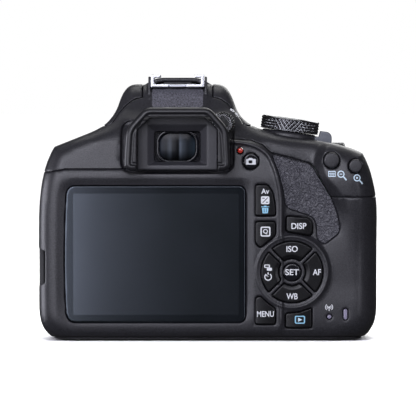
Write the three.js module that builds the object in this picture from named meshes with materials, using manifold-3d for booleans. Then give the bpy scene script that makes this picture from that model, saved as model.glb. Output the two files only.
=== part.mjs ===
// A digital single-lens reflex camera body, as an assembly of separate solids.
//
// Frame: millimetres, +Z up, +Y along the optical axis towards the subject, +X to the right hand
// of the photographer. The origin is the centre of the base of the bounding box.
import * as THREE from "three";
import { mergeVertices } from "three/addons/utils/BufferGeometryUtils.js";
import { ConvexGeometry } from "three/addons/geometries/ConvexGeometry.js";
import Module from "manifold-3d";

const wasm = await Module();
wasm.setup();

// ---- Driving dimensions ----
const GAP = 0.3; // running clearance between neighbouring solids
const SHELL = { half: 64.5, back: -24.5, inside: -21.8, front: 15, edge: 3, wall: 2.3 };
const HEIGHT = 101.3; // top of the accessory shoe rails
const REACH = 38.8; // grip in front and eyecup behind both reach this far from the origin
const LENS = { x: -11.6, z: 45, throat: 27, ring: 32.5, face: 32.3 };
const FOCAL_PLANE = LENS.face - 44;
const EYE = { x: LENS.x, z: 74 };
const SEAM = { y: -8.2, z: 65.5, base: 2.5 }; // where rear, front, top and base covers meet
const THUMB_SIDE = -23.4; // rear surface to the right of the control ridge
const PAD = { x: 31.9, z: 26.4, inner: 5.2, outer: 11.5, ring: 14 }; // four-way pad
const DECK = { tilt: THREE.MathUtils.degToRad(-7.7), x: 30.9, y: -5, z: 78.2 }; // mode dial seat
const GRIP = { left: 35, slope: THREE.MathUtils.degToRad(21.7), top: 76.5, from: 6 };
const HINGE = { y: -17, z: 89.5 }; // flash head hinge
const CHANNEL = 13.3; // half width of the shoe housing between the flash arms
const RELEASE = { x: -49.5, y: 20.3, z: 40, r: 5.6 }; // lens release button
const WHEEL = { x: 49.5, y: 13, z: 67.7, r: 7.6, half: 3.5 }; // main dial in the grip's deck
const SHOE = { half: 10.25, high: 4.8, base: HEIGHT - 4.8, floor: 96.2 };

// ---- Materials ----
const finish = (color, roughness, metalness = 0) =>
  new THREE.MeshStandardMaterial({ color, roughness, metalness });
const MAT = {
  shell: finish(0x2b2c30, 0.62),
  rubber: finish(0x242528, 0.85),
  button: finish(0x151618, 0.4),
  gloss: finish(0x0e0f11, 0.12),
  glass: finish(0x2f363b, 0.05),
  steel: finish(0xc9cbcf, 0.28, 1),
  dark: finish(0x17181a, 0.55),
  mirror: finish(0xdfe3e6, 0.04, 1),
  board: finish(0x1d4a32, 0.5),
  chip: finish(0x2a2f45, 0.2, 0.3),
  brass: finish(0xb08d4a, 0.35, 1),
  label: finish(0x55585c, 0.5),
  red: finish(0xd23a30, 0.3),
  lamp: finish(0x8d8798, 0.3),
};

// ---- Geometry helpers: every solid is a manifold in the part's frame ----
function solid(geometry) {
  const g = geometry.index ? geometry.toNonIndexed() : geometry.clone();
  g.deleteAttribute("normal");
  g.deleteAttribute("uv");
  const merged = mergeVertices(g, 1e-4);
  return new wasm.Manifold(
    new wasm.Mesh({
      numProp: 3,
      vertProperties: merged.attributes.position.array,
      triVerts: new Uint32Array(merged.index.array),
    }),
  );
}

function geometryOf(body) {
  const m = body.getMesh();
  const position = new Float32Array(m.numVert * 3);
  for (let i = 0; i < m.numVert; i++) {
    position.set(m.vertProperties.subarray(i * m.numProp, i * m.numProp + 3), i * 3);
  }
  return new THREE.BufferGeometry()
    .setAttribute("position", new THREE.BufferAttribute(position, 3))
    .setIndex(new THREE.BufferAttribute(m.triVerts, 1));
}

const union = (...bodies) => bodies.reduce((a, b) => a.add(b));

function box(x0, x1, y0, y1, z0, z1) {
  const g = new THREE.BoxGeometry(x1 - x0, y1 - y0, z1 - z0);
  return solid(g.translate((x0 + x1) / 2, (y0 + y1) / 2, (z0 + z1) / 2));
}

function extrusion(shape, length, { bevel = 0, grow = 0, steps = 2, curve = 5 } = {}) {
  return new THREE.ExtrudeGeometry(shape, {
    depth: length - 2 * bevel,
    bevelEnabled: true,
    bevelThickness: bevel,
    bevelSize: bevel,
    bevelOffset: grow - bevel,
    bevelSegments: bevel > 0 ? steps : 0,
    curveSegments: curve,
  }).translate(0, 0, bevel);
}

// An outline drawn in X and Z, extruded from y0 to y1.
function prismY(shape, y0, y1, options) {
  return solid(extrusion(shape, y1 - y0, options).rotateX(Math.PI / 2).translate(0, y1, 0));
}

// An outline drawn in X and Y, extruded from z0 to z1.
function prismZ(shape, z0, z1, options) {
  return solid(extrusion(shape, z1 - z0, options).translate(0, 0, z0));
}

// An outline drawn in Y and Z, extruded from x0 to x1.
function prismX(shape, x0, x1, options) {
  const g = extrusion(shape, x1 - x0, options);
  return solid(g.rotateZ(Math.PI / 2).rotateY(Math.PI / 2).translate(x0, 0, 0));
}

function polygon(points) {
  return new THREE.Shape(points.map(([a, b]) => new THREE.Vector2(a, b)));
}

function disc(radius, x = 0, z = 0) {
  const s = new THREE.Shape();
  s.absarc(x, z, radius, 0, Math.PI * 2);
  return s;
}

// A rectangle with round corners, from (x0, z0) to (x1, z1).
function roundRect(x0, x1, z0, z1, r) {
  const s = new THREE.Shape();
  s.absarc(x1 - r, z0 + r, r, -Math.PI / 2, 0);
  s.absarc(x1 - r, z1 - r, r, 0, Math.PI / 2);
  s.absarc(x0 + r, z1 - r, r, Math.PI / 2, Math.PI);
  s.absarc(x0 + r, z0 + r, r, Math.PI, 1.5 * Math.PI);
  return s;
}

// A turned solid: profile points are [radius, height], and the axis is Z.
function turned(profile, segments = 24) {
  return new THREE.LatheGeometry(
    profile.map(([r, h]) => new THREE.Vector2(r, h)),
    segments,
  ).rotateX(Math.PI / 2);
}

function cylinderY(x, z, radius, y0, y1, segments = 24) {
  const g = new THREE.CylinderGeometry(radius, radius, y1 - y0, segments);
  return solid(g.translate(x, (y0 + y1) / 2, z));
}

// ---- The assembly ----
const camera = new THREE.Group();

function add(name, body, material, parent = camera) {
  const geometry = body.isBufferGeometry ? body : geometryOf(body);
  const mesh = new THREE.Mesh(geometry, material);
  mesh.name = name;
  parent.add(mesh);
  return mesh;
}

// ---- Outer form ----
// The right-hand edge that the body and the grip share, from the base up to the shoulder.
function rightEdge(s) {
  s.lineTo(54, 0);
  s.bezierCurveTo(60, 0, 64.2, 4, 64.4, 12);
  s.lineTo(SHELL.half, 46);
  s.bezierCurveTo(SHELL.half, 58, 62, 66, 58.9, 71.4);
}

// Silhouette from behind: rounded base corners, sloping shoulders and the pentamirror hump.
function bodyOutline() {
  const s = new THREE.Shape();
  const mirrored = (x) => 2 * LENS.x - x;
  s.moveTo(-54, 0);
  rightEdge(s);
  s.bezierCurveTo(57, 72.6, 50, 75, 42, 76.8);
  s.lineTo(22, 79.7);
  s.bezierCurveTo(16, 80.8, 12.5, 84, 10.4, 89);
  s.bezierCurveTo(8.6, 94, 6.5, 97.7, 2.4, 97.7);
  s.lineTo(mirrored(2.4), 97.7);
  s.bezierCurveTo(mirrored(6.5), 97.7, mirrored(8.6), 94, mirrored(10.4), 89);
  s.bezierCurveTo(-35.8, 83.6, -39.5, 81.2, -46, 78.8);
  s.lineTo(-58.6, 73.8);
  s.bezierCurveTo(-62.8, 67, -64.6, 57, -SHELL.half, 42);
  s.lineTo(-64.4, 12);
  s.bezierCurveTo(-64.2, 4, -60, 0, -54, 0);
  return s;
}

function gripOutline() {
  const s = new THREE.Shape();
  s.moveTo(GRIP.left + 3, 0);
  rightEdge(s);
  s.lineTo(44, 76);
  s.lineTo(GRIP.left, 76);
  s.lineTo(GRIP.left, 8);
  s.bezierCurveTo(GRIP.left, 3, GRIP.left, 0, GRIP.left + 3, 0);
  return s;
}

// The grip: its outline drawn in by steps towards the front, wrapped in one convex skin.
function gripForm(inwards = 0, front = REACH) {
  const centre = { x: (GRIP.left + SHELL.half) / 2, z: 38 };
  const half = { x: centre.x - GRIP.left, z: 38 };
  const layers = [[-4, 0], [front - 8, 0], [front - 4, 1.2], [front - 1.5, 3.6], [front, 7.5]];
  const points = layers.flatMap(([y, inset]) =>
    gripOutline().getPoints(5).map(({ x, y: z }) => {
      const d = inset + inwards;
      return new THREE.Vector3(
        centre.x + (x - centre.x) * (1 - d / half.x),
        y,
        centre.z + (z - centre.z) * (1 - d / half.z),
      );
    }),
  );
  return solid(new ConvexGeometry(points));
}

// The panel above the eyepiece slopes forwards, up to the accessory shoe.
const rearSlope = (inwards = 0) =>
  prismX(
    polygon([
      [-40, 84.5 - inwards],
      [SHELL.back, 84.5 - inwards],
      [-12.5, 97.2 - inwards],
      [-12.5, 110],
      [-40, 110],
    ]),
    -70,
    70,
  );

// Material above the grip's sloping front deck.
const gripSlope = (inwards = 0) =>
  prismX(
    polygon([
      [GRIP.from, GRIP.top - inwards],
      [60, GRIP.top - inwards - (60 - GRIP.from) * Math.tan(GRIP.slope)],
      [60, 110],
      [GRIP.from, 110],
    ]),
    GRIP.left - 8,
    70,
  );

// Everything the flash head sweeps or fills: two arms beside the shoe housing and what is above them.
function flashZone(clear) {
  const side = (a, b) => box(a, b, HINGE.y - clear - 20, 30, HINGE.z - clear, 110);
  const arms = union(
    side(-50, LENS.x - CHANNEL + clear),
    side(LENS.x + CHANNEL - clear, 30),
  );
  return arms.add(box(-50, 30, 16 - clear, 60, HINGE.z - clear, 110));
}

const thumbHook = () =>
  polygon([
    [64.2, 52.5], [63.4, 60], [60, 69], [55.5, 72.2], [46, 73.8], [41.6, 70], [42.4, 64],
    [48.5, 52.5],
  ]);

const thumbSide = () =>
  polygon([
    [24.3, 90], [24.3, 71.4], [27, 64], [28.8, 57.8], [29.4, 50], [28.4, 42], [28.2, 12],
    [27.7, 4.4], [70, 4.4], [70, 90],
  ]);

function outerForm() {
  const block = prismY(bodyOutline(), SHELL.back, SHELL.front, { bevel: SHELL.edge });
  const padRing = cylinderY(PAD.x, PAD.z, PAD.ring, SHELL.back, SHELL.back + 2, 32);
  const lowered = block
    .subtract(prismY(thumbSide(), -30, THUMB_SIDE))
    .add(padRing)
    .add(prismY(thumbHook(), -27, -20, { bevel: 2, steps: 2 }));
  const grip = gripForm();
  const boss = solid(
    turned([[0, 0], [37, 0], [37, 12], [35.5, 15], [0, 15]], 40)
      .rotateX(-Math.PI / 2)
      .translate(LENS.x, SHELL.front, LENS.z),
  );
  const releaseBoss = cylinderY(RELEASE.x, RELEASE.z, RELEASE.r + 2.9, 5, 24, 24);
  const body = union(lowered, grip, boss, releaseBoss);
  return body.subtract(rearSlope()).subtract(gripSlope());
}

// The nose of the flash head over the lens, as a convex skin over cross-sections along Y.
function flashNose(inwards) {
  const n = -inwards;
  const sections = [
    { y: 8, foot: 23 + n, low: 86 - n, crown: 13 + n, high: 97.7 + n },
    { y: 17, foot: 23 + n, low: 82.6 - n, crown: 14 + n, high: 100.4 + n },
    { y: 31 + n, foot: 20 + n, low: 82.6 - n, crown: 13 + n, high: 100 + n },
    { y: 36.3 + n, foot: 17 + n, low: 84.5 - n, crown: 12.5 + n, high: 95.5 + n },
  ];
  const points = sections.flatMap(({ y, foot, low, crown, high }) =>
    [-1, 1].flatMap((side) => [
      new THREE.Vector3(LENS.x + side * foot, y, low),
      new THREE.Vector3(LENS.x + side * crown, y, high),
      new THREE.Vector3(LENS.x + side * (foot + 1), y, (low + high) / 2),
    ]),
  );
  return solid(new ConvexGeometry(points));
}

function flashForm(inwards) {
  const arms = prismY(bodyOutline(), HINGE.y + GAP, 20, { grow: -inwards, bevel: 2, steps: 1 });
  return arms.subtract(rearSlope(inwards)).add(flashNose(inwards));
}

function innerSpace() {
  const inset = { grow: -SHELL.wall, bevel: 1.5, steps: 1, curve: 3 };
  const block = prismY(bodyOutline(), SHELL.inside, SHELL.front - SHELL.wall, inset);
  const grip = gripForm(SHELL.wall + 1.6, REACH - SHELL.wall - 1.6);
  const boss = cylinderY(LENS.x, LENS.z, 33.5, 5, LENS.face - 5, 24);
  const release = cylinderY(RELEASE.x, RELEASE.z, RELEASE.r + 0.8, 5, 21.6, 16);
  return union(block, grip, boss, release)
    .subtract(rearSlope(SHELL.wall + 0.8))
    .subtract(gripSlope(SHELL.wall));
}

const outer = outerForm();
const inner = innerSpace();

// ---- Where the covers meet ----
const rearSeam = [
  [8.5, 77], [16.5, 76.3], [20.8, 74.5], [24.3, 71.4], [39, 67.4], [41, 65.4], [43.5, 60],
  [46.5, 54.9],
];
const rearZone = (grow) =>
  prismY(
    polygon([
      [-70, SEAM.base + GAP], [70, SEAM.base + GAP], [70, 54.9], ...[...rearSeam].reverse(),
      [8.5, SEAM.z], [-70, SEAM.z],
    ]),
    -60,
    SEAM.y + grow,
    { grow },
  );
const frontBox = (grow) => box(-70, 70, SEAM.y + GAP - grow, 60, SEAM.base + GAP, SEAM.z + grow);
const bossZone = (grow) => cylinderY(LENS.x, LENS.z, 37.2 + grow, 13 - grow, 60, 40);
const frontZone = frontBox(0).add(bossZone(0));
const topZone = box(-70, 70, -60, 60, SEAM.base + GAP, 120)
  .subtract(rearZone(GAP))
  .subtract(frontBox(GAP))
  .subtract(bossZone(GAP));
const baseZone = box(-70, 70, -60, 60, -5, SEAM.base);

// ---- Rear controls: outlines in X and Z about each button's centre ----
function sector(from, to) {
  const s = new THREE.Shape();
  const half = 0.8; // half of the web between two keys
  const trim = (r) => Math.asin(half / r);
  s.absarc(0, 0, PAD.outer, from + trim(PAD.outer), to - trim(PAD.outer));
  s.absarc(0, 0, PAD.inner, to - trim(PAD.inner), from + trim(PAD.inner), true);
  return s;
}

const Q = Math.PI / 4;
const FLANGE = 0.55; // lip that keeps a button from falling out
const REAR_BUTTONS = {
  live_view_button: { at: [16.3, 68.5], shape: disc(2.9), back: -25.3 },
  exposure_button: {
    at: [21.8, 53.6],
    shape: polygon([[-3.8, -5.9], [3.8, -5.9], [3.6, -1.5], [2.6, 3], [0.6, 6], [-3.8, 6]]),
    back: -25,
  },
  quick_button: {
    at: [21.8, 41],
    shape: polygon([[-3.8, -4], [-2.4, -5.3], [-1.2, -5.1], [3.8, -0.6], [3.8, 4.6], [-3.8, 4.6]]),
    back: -25,
  },
  menu_button: {
    at: [21.8, 11.4],
    shape: polygon([[-3.8, -5], [3.8, -5], [3.8, 1.2], [0.6, 3.4], [-2, 6], [-3.4, 5.8], [-3.8, 4.6]]),
    back: -25,
  },
  disp_button: {
    at: [34.6, 44.1],
    shape: polygon([[-5, -2.2], [4, -3.9], [5, -2.6], [5, 1.2], [3.6, 2.9], [-4.8, 3.6], [-5, 2.8]]),
    back: -24.2,
  },
  playback_button: {
    at: [34.4, 8.9],
    shape: polygon([[-5, -3.8], [5, -3.8], [5, 3.2], [4.2, 4], [0, 2.4], [-4.6, 1.9], [-5, 1.4]]),
    back: -24.2,
  },
  set_button: { at: [PAD.x, PAD.z], shape: disc(3.3), back: -25.4 },
  iso_key: { at: [PAD.x, PAD.z], shape: sector(Q, 3 * Q), back: -25 },
  drive_key: { at: [PAD.x, PAD.z], shape: sector(3 * Q, 5 * Q), back: -25 },
  wb_key: { at: [PAD.x, PAD.z], shape: sector(5 * Q, 7 * Q), back: -25 },
  af_key: { at: [PAD.x, PAD.z], shape: sector(7 * Q, 9 * Q), back: -25 },
  zoom_out_button: { at: [46.8, 68.9], shape: disc(2.9), back: -28 },
  zoom_in_button: { at: [55.9, 66.7], shape: disc(2.5), back: -28 },
};

function buttonHole({ at: [x, z], shape }) {
  const passage = prismY(shape, -40, -20, { grow: GAP });
  const counterbore = prismY(shape, SHELL.inside, -18, { grow: FLANGE + GAP });
  return passage.add(counterbore).translate([x, 0, z]);
}

function addRearButton(name, { at: [x, z], shape, back }) {
  const seat = SHELL.inside + GAP; // the flange starts here, clear of the cover
  const cap = prismY(shape, back, seat + 0.1, { bevel: 0.35, steps: 1 });
  const flange = prismY(shape, seat, seat + 0.8, { grow: FLANGE });
  add(name, cap.add(flange), MAT.button).position.set(x, 0, z);
}

// ---- Screen, thumb rest and lamps ----
const SCREEN = { x0: -54.2, x1: 14.2, z0: 7.2, z1: 59.1, r: 3 };
const ACTIVE = { x0: -51.2, x1: 11.7, z0: 10.1, z1: 56.2 };
const screenShape = () => roundRect(SCREEN.x0, SCREEN.x1, SCREEN.z0, SCREEN.z1, SCREEN.r);
const activeShape = () => roundRect(ACTIVE.x0, ACTIVE.x1, ACTIVE.z0, ACTIVE.z1, 1);

const thumbRestShape = () =>
  polygon([
    [24.9, 70.6], [38.6, 67], [40.5, 65], [43, 59.8], [46.4, 54.4], [48.6, 49], [49.7, 43.3],
    [49.2, 41.2], [44.2, 37.3], [42, 39], [41.6, 45], [40, 47.9], [31, 50.8], [29.9, 52],
    [28.9, 57.8], [27.2, 64.4],
  ]);

const RECORDING_LAMP = { x: 12.2, z: 72.5, r: 1 };
const ACCESS_LAMP = { x: 52.2, z: 10.3, w: 0.75, h: 2.1 };
const KNOB = { x: 5.7, z: 82.8, r: 3.9 };

function rearCover() {
  let body = outer.subtract(inner).intersect(rearZone(0));
  body = body
    .subtract(prismY(screenShape(), -30, -22.7, { grow: GAP }))
    .subtract(prismY(activeShape(), -30, -15))
    .subtract(prismY(thumbRestShape(), -30, THUMB_SIDE + 1, { grow: GAP }))
    .subtract(cylinderY(RECORDING_LAMP.x, RECORDING_LAMP.z, RECORDING_LAMP.r + GAP, -30, -20, 12))
    .subtract(
      prismY(accessLampShape(), -30, -20, { grow: GAP }).translate([ACCESS_LAMP.x, 0, ACCESS_LAMP.z]),
    )
    .subtract(prismX(notchShape(), -70, NOTCH_FLOOR));
  for (const b of Object.values(REAR_BUTTONS)) {
    body = body.subtract(buttonHole(b));
  }
  return body.subtract(terminalZone(GAP));
}

const accessLampShape = () =>
  roundRect(-ACCESS_LAMP.w, ACCESS_LAMP.w, -ACCESS_LAMP.h, ACCESS_LAMP.h, 0.7);

// Fingernail notch behind the terminal cover, drawn in Y and Z.
const NOTCH_FLOOR = -62.6;
const notchShape = () => polygon([[-22, 22.6], [-13, 20.4], [-13, 36], [-22, 33.8]]);

const TERMINAL = { y0: -14, y1: 7, z0: 14.5, z1: 51, x: -62.2 };
const terminalZone = (clear) =>
  box(
    -70, TERMINAL.x + clear, TERMINAL.y0 - clear, TERMINAL.y1 + clear,
    TERMINAL.z0 - clear, TERMINAL.z1 + clear,
  );

add("rear_cover", rearCover(), MAT.shell);
add("lcd_window", prismY(screenShape(), -24.2, -23, { bevel: 0.3, steps: 1 }), MAT.gloss);
add("lcd_panel", box(-52.6, 13, -21.4, -18.2, 8.6, 57.7), MAT.glass);
add("thumb_rest_rubber", prismY(thumbRestShape(), THUMB_SIDE - 0.2, THUMB_SIDE + 0.7), MAT.rubber);
for (const [name, b] of Object.entries(REAR_BUTTONS)) {
  addRearButton(name, b);
}
add("recording_lamp", cylinderY(0, 0, RECORDING_LAMP.r, -24.9, -21, 12), MAT.red).position.set(
  RECORDING_LAMP.x,
  0,
  RECORDING_LAMP.z,
);
add("access_lamp", prismY(accessLampShape(), -23.7, -21), MAT.lamp).position.set(
  ACCESS_LAMP.x,
  0,
  ACCESS_LAMP.z,
);
add("button_board", box(17, 52, -19.4, -18.2, 6, 67), MAT.board);

// ---- Battery compartment in the base ----
const DOOR = { x0: 37.5, x1: 56, y0: -8.5, y1: 28.5, z: 2.2 };
const LATCH = { x0: 38.5, x1: 42, y0: 6, y1: 14, travel: 3 };
const doorShape = () => roundRect(DOOR.x0, DOOR.x1, DOOR.y0, DOOR.y1, 2);
const batteryShape = () => roundRect(41.9, 55.3, -6.9, 27.2, 2);
const cardShape = () => roundRect(38.9, 41.1, -5, 19, 0.4);

function batteryShaft() {
  return prismZ(batteryShape(), -1, 51.6, { grow: GAP }).add(
    prismZ(cardShape(), -1, 36, { grow: GAP }),
  );
}

function bottomPlate() {
  const plate = outer.intersect(baseZone);
  const socket = solid(
    turned([[0, -1], [6.3, -1], [6.3, 4], [0, 4]], 24).translate(LENS.x, 2, 0),
  );
  return plate
    .subtract(prismZ(doorShape(), -5, 10, { grow: GAP }))
    .subtract(socket);
}

add("bottom_plate", bottomPlate(), MAT.shell);

const tripod = turned([[3.1, 0.1], [6, 0.1], [6, 2.8], [7.5, 2.8], [7.5, 9], [3.1, 9], [3.1, 0.1]], 24);
add("tripod_socket", tripod, MAT.steel).position.set(LENS.x, 2, 0);

const latchTrack = box(
  LATCH.x0 - GAP, LATCH.x1 + LATCH.travel + GAP, LATCH.y0 - GAP, LATCH.y1 + GAP, -1, 1.5,
);
const door = outer.intersect(prismZ(doorShape(), -1, DOOR.z)).subtract(latchTrack);
add("battery_door", door, MAT.shell);
add("battery_door_latch", box(LATCH.x0, LATCH.x1, LATCH.y0, LATCH.y1, 0.3, 1.2), MAT.button);
add("battery", prismZ(batteryShape(), 3, 51), MAT.dark);
add("memory_card", prismZ(cardShape(), 3, 35), MAT.label);

// ---- Front cover, grip skin and lens mount ----
const SKIN = { x0: GRIP.left + 1.5, y0: 4, z0: 5, z1: 60 }; // where the grip's rubber skin lies
const gripSkinZone = (clear) =>
  box(SKIN.x0 + clear, 70, SKIN.y0 + clear, 60, SKIN.z0 + clear, SKIN.z1 - clear);
const gripCore = (inwards) => gripForm(inwards, REACH - inwards).subtract(gripSlope(inwards));

// A point on the grip's sloping front deck, at the given distance along Y.
const gripDeck = (y) => GRIP.top - (y - GRIP.from) * Math.tan(GRIP.slope);
const onGrip = (body, x, y) =>
  body.rotate([THREE.MathUtils.radToDeg(-GRIP.slope), 0, 0]).translate([x, y, gripDeck(y)]);

const cylinderZ = (r, z0, z1, segments = 24) =>
  solid(turned([[0, z0], [r, z0], [r, z1], [0, z1]], segments));

const SHUTTER_BUTTON = { x: 50, y: 28, r: 5 };
const FLASH_BUTTON = { x: 41, y: 20, r: 2.4 };

// Round holes for the two buttons on the grip's deck, wider below for their flanges.
function deckHoles() {
  const hole = ({ x, y, r }) =>
    onGrip(cylinderZ(r + GAP, -10, 10, 20).add(cylinderZ(r + 1.2, -10, -3, 20)), x, y);
  return hole(SHUTTER_BUTTON).add(hole(FLASH_BUTTON));
}

const LOCK_PIN = { x: LENS.x - 29.8, z: LENS.z };
const LAMP = { x: 30, z: 59, r: 2.4 }; // self-timer lamp

function frontCover() {
  const skin = gripSkinZone(0).subtract(gripCore(1.3));
  const pin = cylinderY(LOCK_PIN.x, LOCK_PIN.z, 1.7, 5, 60, 12);
  return outer
    .subtract(inner)
    .intersect(frontZone)
    .subtract(skin)
    .subtract(cylinderY(LENS.x, LENS.z, LENS.throat + 2.4, 0, 60, 40))
    .subtract(cylinderY(RELEASE.x, RELEASE.z, RELEASE.r + GAP, 10, 60, 24))
    .subtract(cylinderY(LAMP.x, LAMP.z, LAMP.r + GAP, 5, 30, 16))
    .subtract(pin)
    .subtract(batteryShaft())
    .subtract(deckHoles())
    .subtract(terminalZone(GAP));
}

add("front_cover", frontCover(), MAT.shell);
add("grip_rubber", outer.intersect(gripSkinZone(GAP)).subtract(gripCore(1)), MAT.rubber);

// Bayonet ring with three inner tabs.
function mountRing() {
  const { throat, ring, face } = LENS;
  const flange = solid(
    turned(
      [[throat, -6], [throat + 2, -6], [throat + 2, -2], [ring, -2], [ring, 0], [throat, 0], [throat, -6]],
      48,
    ).rotateX(-Math.PI / 2),
  );
  const tab = (k) => {
    const s = new THREE.Shape();
    const a = Math.PI / 2 + (k * 2 * Math.PI) / 3;
    s.absarc(0, 0, throat + 0.6, a - 0.5, a + 0.5);
    s.absarc(0, 0, throat - 2, a + 0.5, a - 0.5, true);
    return prismY(s, -2.6, -0.8, { curve: 6 });
  };
  const ringBody = union(flange, tab(0), tab(1), tab(2));
  const pin = cylinderY(LOCK_PIN.x - LENS.x, 0, 1.5, -10, 10, 12);
  return ringBody.subtract(pin);
}
add("lens_mount_ring", mountRing(), MAT.steel).position.set(LENS.x, LENS.face, LENS.z);

add("lens_lock_pin", cylinderY(0, 0, 1.2, 24.5, 34.2, 10), MAT.steel).position.set(
  LOCK_PIN.x,
  0,
  LOCK_PIN.z,
);

const release = turned(
  [
    [0, 0], [RELEASE.r + 0.6, 0], [RELEASE.r + 0.6, 1], [RELEASE.r, 1], [RELEASE.r, 6.6],
    [RELEASE.r - 0.8, 7.4], [0, 7.4],
  ],
  20,
);
add("lens_release_button", release.rotateX(-Math.PI / 2), MAT.button).position.set(
  RELEASE.x,
  RELEASE.y,
  RELEASE.z,
);
add("self_timer_lamp", cylinderY(0, 0, LAMP.r, 11.5, 15.4, 16), MAT.lamp).position.set(
  LAMP.x,
  0,
  LAMP.z,
);

// ---- Mirror box, mirror, shutter and sensor ----
const BOX = { half: 21, inside: 17.5, z0: 24, z1: 60, back: -6, front: 23.5 };

function mirrorBox() {
  const frame = box(LENS.x - BOX.half, LENS.x + BOX.half, BOX.back, BOX.front, BOX.z0, BOX.z1);
  const plate = cylinderY(LENS.x, LENS.z, 28.2, BOX.front - 2.5, LENS.face - 6.3, 32);
  const chamber = box(
    LENS.x - BOX.inside, LENS.x + BOX.inside, BOX.back + 2, BOX.front + 4, BOX.z0 + 2.5, BOX.z1 - 2,
  );
  const gate = box(LENS.x - 12.5, LENS.x + 12.5, -20, 10, LENS.z - 8.5, LENS.z + 8.5);
  const screenPort = box(LENS.x - 13, LENS.x + 13, -1, 21, 50, 70);
  return frame
    .add(plate)
    .subtract(chamber)
    .subtract(gate)
    .subtract(screenPort)
    .subtract(cylinderY(LENS.x, LENS.z, 22.5, BOX.front - 3, 40, 32));
}
add("mirror_box", mirrorBox(), MAT.dark);

const contactShape = new THREE.Shape();
contactShape.absarc(0, 0, 26.4, 1.5 * Math.PI - 0.42, 1.5 * Math.PI + 0.42);
contactShape.absarc(0, 0, 23.4, 1.5 * Math.PI + 0.42, 1.5 * Math.PI - 0.42, true);
add("lens_contact_block", prismY(contactShape, 26.3, 29.2, { curve: 8 }), MAT.brass).position.set(
  LENS.x,
  0,
  LENS.z,
);

// The mirror hangs at 45 degrees from a hinge at the top rear of the mirror box.
const MIRROR = { y: -2.6, z: 55.6, length: 25.5, half: 15.5, thick: 1.2 };
const mirrorMesh = add(
  "reflex_mirror",
  box(-MIRROR.half, MIRROR.half, 0, MIRROR.length, -MIRROR.thick, 0),
  MAT.mirror,
);
mirrorMesh.position.set(LENS.x, MIRROR.y, MIRROR.z);
mirrorMesh.rotation.x = -Math.PI / 4;

add("focusing_screen", box(LENS.x - 12.6, LENS.x + 12.6, -0.6, 20.6, 58.3, 59.9), MAT.glass);

// Pentamirror: a roof-shaped block over the focusing screen.
const pentaPoints = [];
for (const side of [-1, 1]) {
  for (const [y, z, w] of [
    [-1, 60.5, 13], [18.5, 60.5, 13], [18.8, 68, 14], [7, 82.5, 8], [-8, 82.5, 8],
    [-12, 76, 12], [-10, 68, 12],
  ]) {
    pentaPoints.push(new THREE.Vector3(LENS.x + side * w, y, z));
  }
}
add("pentamirror", new ConvexGeometry(pentaPoints), MAT.mirror);

const SHUTTER = { z0: 17, z1: 64 };
function shutterUnit() {
  const frame = box(LENS.x - 20, LENS.x + 20, -10.6, -6.4, SHUTTER.z0, SHUTTER.z1);
  const aperture = box(LENS.x - 12, LENS.x + 12, -20, 0, LENS.z - 8, LENS.z + 8);
  const slot = box(LENS.x - 14, LENS.x + 14, -9.3, -7.8, SHUTTER.z0 - 5, SHUTTER.z1 - 1.5);
  return frame.subtract(aperture).subtract(slot);
}
add("shutter_unit", shutterUnit(), MAT.dark);
add("shutter_curtain", box(LENS.x - 13.6, LENS.x + 13.6, -9, -8.1, 35.8, 54.6), MAT.dark);
add("image_sensor", box(LENS.x - 14, LENS.x + 14, -15.5, FOCAL_PLANE, LENS.z - 10, LENS.z + 10), MAT.chip);
add("main_board", box(-56, 14, -17.7, -16.2, 6, 62), MAT.board);
add("flash_capacitor", turned([[0, 0], [6, 0], [6, 36], [0, 36]], 16), MAT.dark).position.set(-43, 3, 6);

// ---- Viewfinder: frame, lens, eyecup and dioptre knob ----
// Opening outline shared by the frame plate and the eyecup: a rectangle with its top corners cut.
function framePlateShape(half, bottom, top, cutX, cutZ) {
  return polygon([
    [-half, bottom], [half, bottom], [half, top - cutZ], [half - cutX, top], [cutX - half, top],
    [-half, top - cutZ],
  ]);
}

function viewfinderFrame() {
  const tube = box(-13, 13, -27, -20, 66.5, 81.5);
  const plate = prismY(framePlateShape(15.2, 65.2, 85, 4.8, 4.6), -28.2, -26.9);
  const bevelled = new ConvexGeometry(
    [[-28.3, 11.5, 66.2, 82], [-26.2, 8.8, 68.2, 79.9]].flatMap(([y, w, z0, z1]) =>
      [[-w, z0], [w, z0], [w, z1], [-w, z1]].map(([x, z]) => new THREE.Vector3(x, y, z)),
    ),
  );
  return tube
    .add(plate)
    .subtract(solid(bevelled))
    .subtract(box(-8.8, 8.8, -40, -10, 68.2, 79.9));
}
add("viewfinder_frame", viewfinderFrame(), MAT.dark).position.x = EYE.x;

const eyepiece = cylinderY(0, EYE.z, 7.4, -24.4, -22).intersect(
  box(-6.9, 6.9, -30, -10, EYE.z - 5.2, EYE.z + 5.2),
);
add("eyepiece_lens", eyepiece, MAT.glass).position.x = EYE.x;

function eyecupShape() {
  const s = new THREE.Shape();
  s.moveTo(-17, 64.4);
  s.lineTo(17, 64.4);
  s.bezierCurveTo(18.8, 64.4, 20, 65.6, 20, 67.4);
  s.lineTo(20, 78);
  s.bezierCurveTo(19.6, 82, 16, 87, 12.5, 88.6);
  s.lineTo(0, 89);
  s.lineTo(-12.5, 88.6);
  s.bezierCurveTo(-16, 87, -19.6, 82, -20, 78);
  s.lineTo(-20, 67.4);
  s.bezierCurveTo(-20, 65.6, -18.8, 64.4, -17, 64.4);
  return s;
}

function eyecup() {
  const rim = prismY(eyecupShape(), -REACH, -27.6, { bevel: 1.4, steps: 2, curve: 4 });
  const opening = prismY(framePlateShape(15.6, 67.4, 85.4, 4.9, 4.7), -50, -20);
  const lowSill = box(-15.6, 15.6, -50, -31.5, 60, 70);
  return rim
    .subtract(opening)
    .subtract(lowSill)
    .subtract(box(-15.6, 15.6, -28.5, -20, 60, 85.3));
}
add("eyecup", eyecup(), MAT.rubber).position.x = EYE.x;

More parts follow.
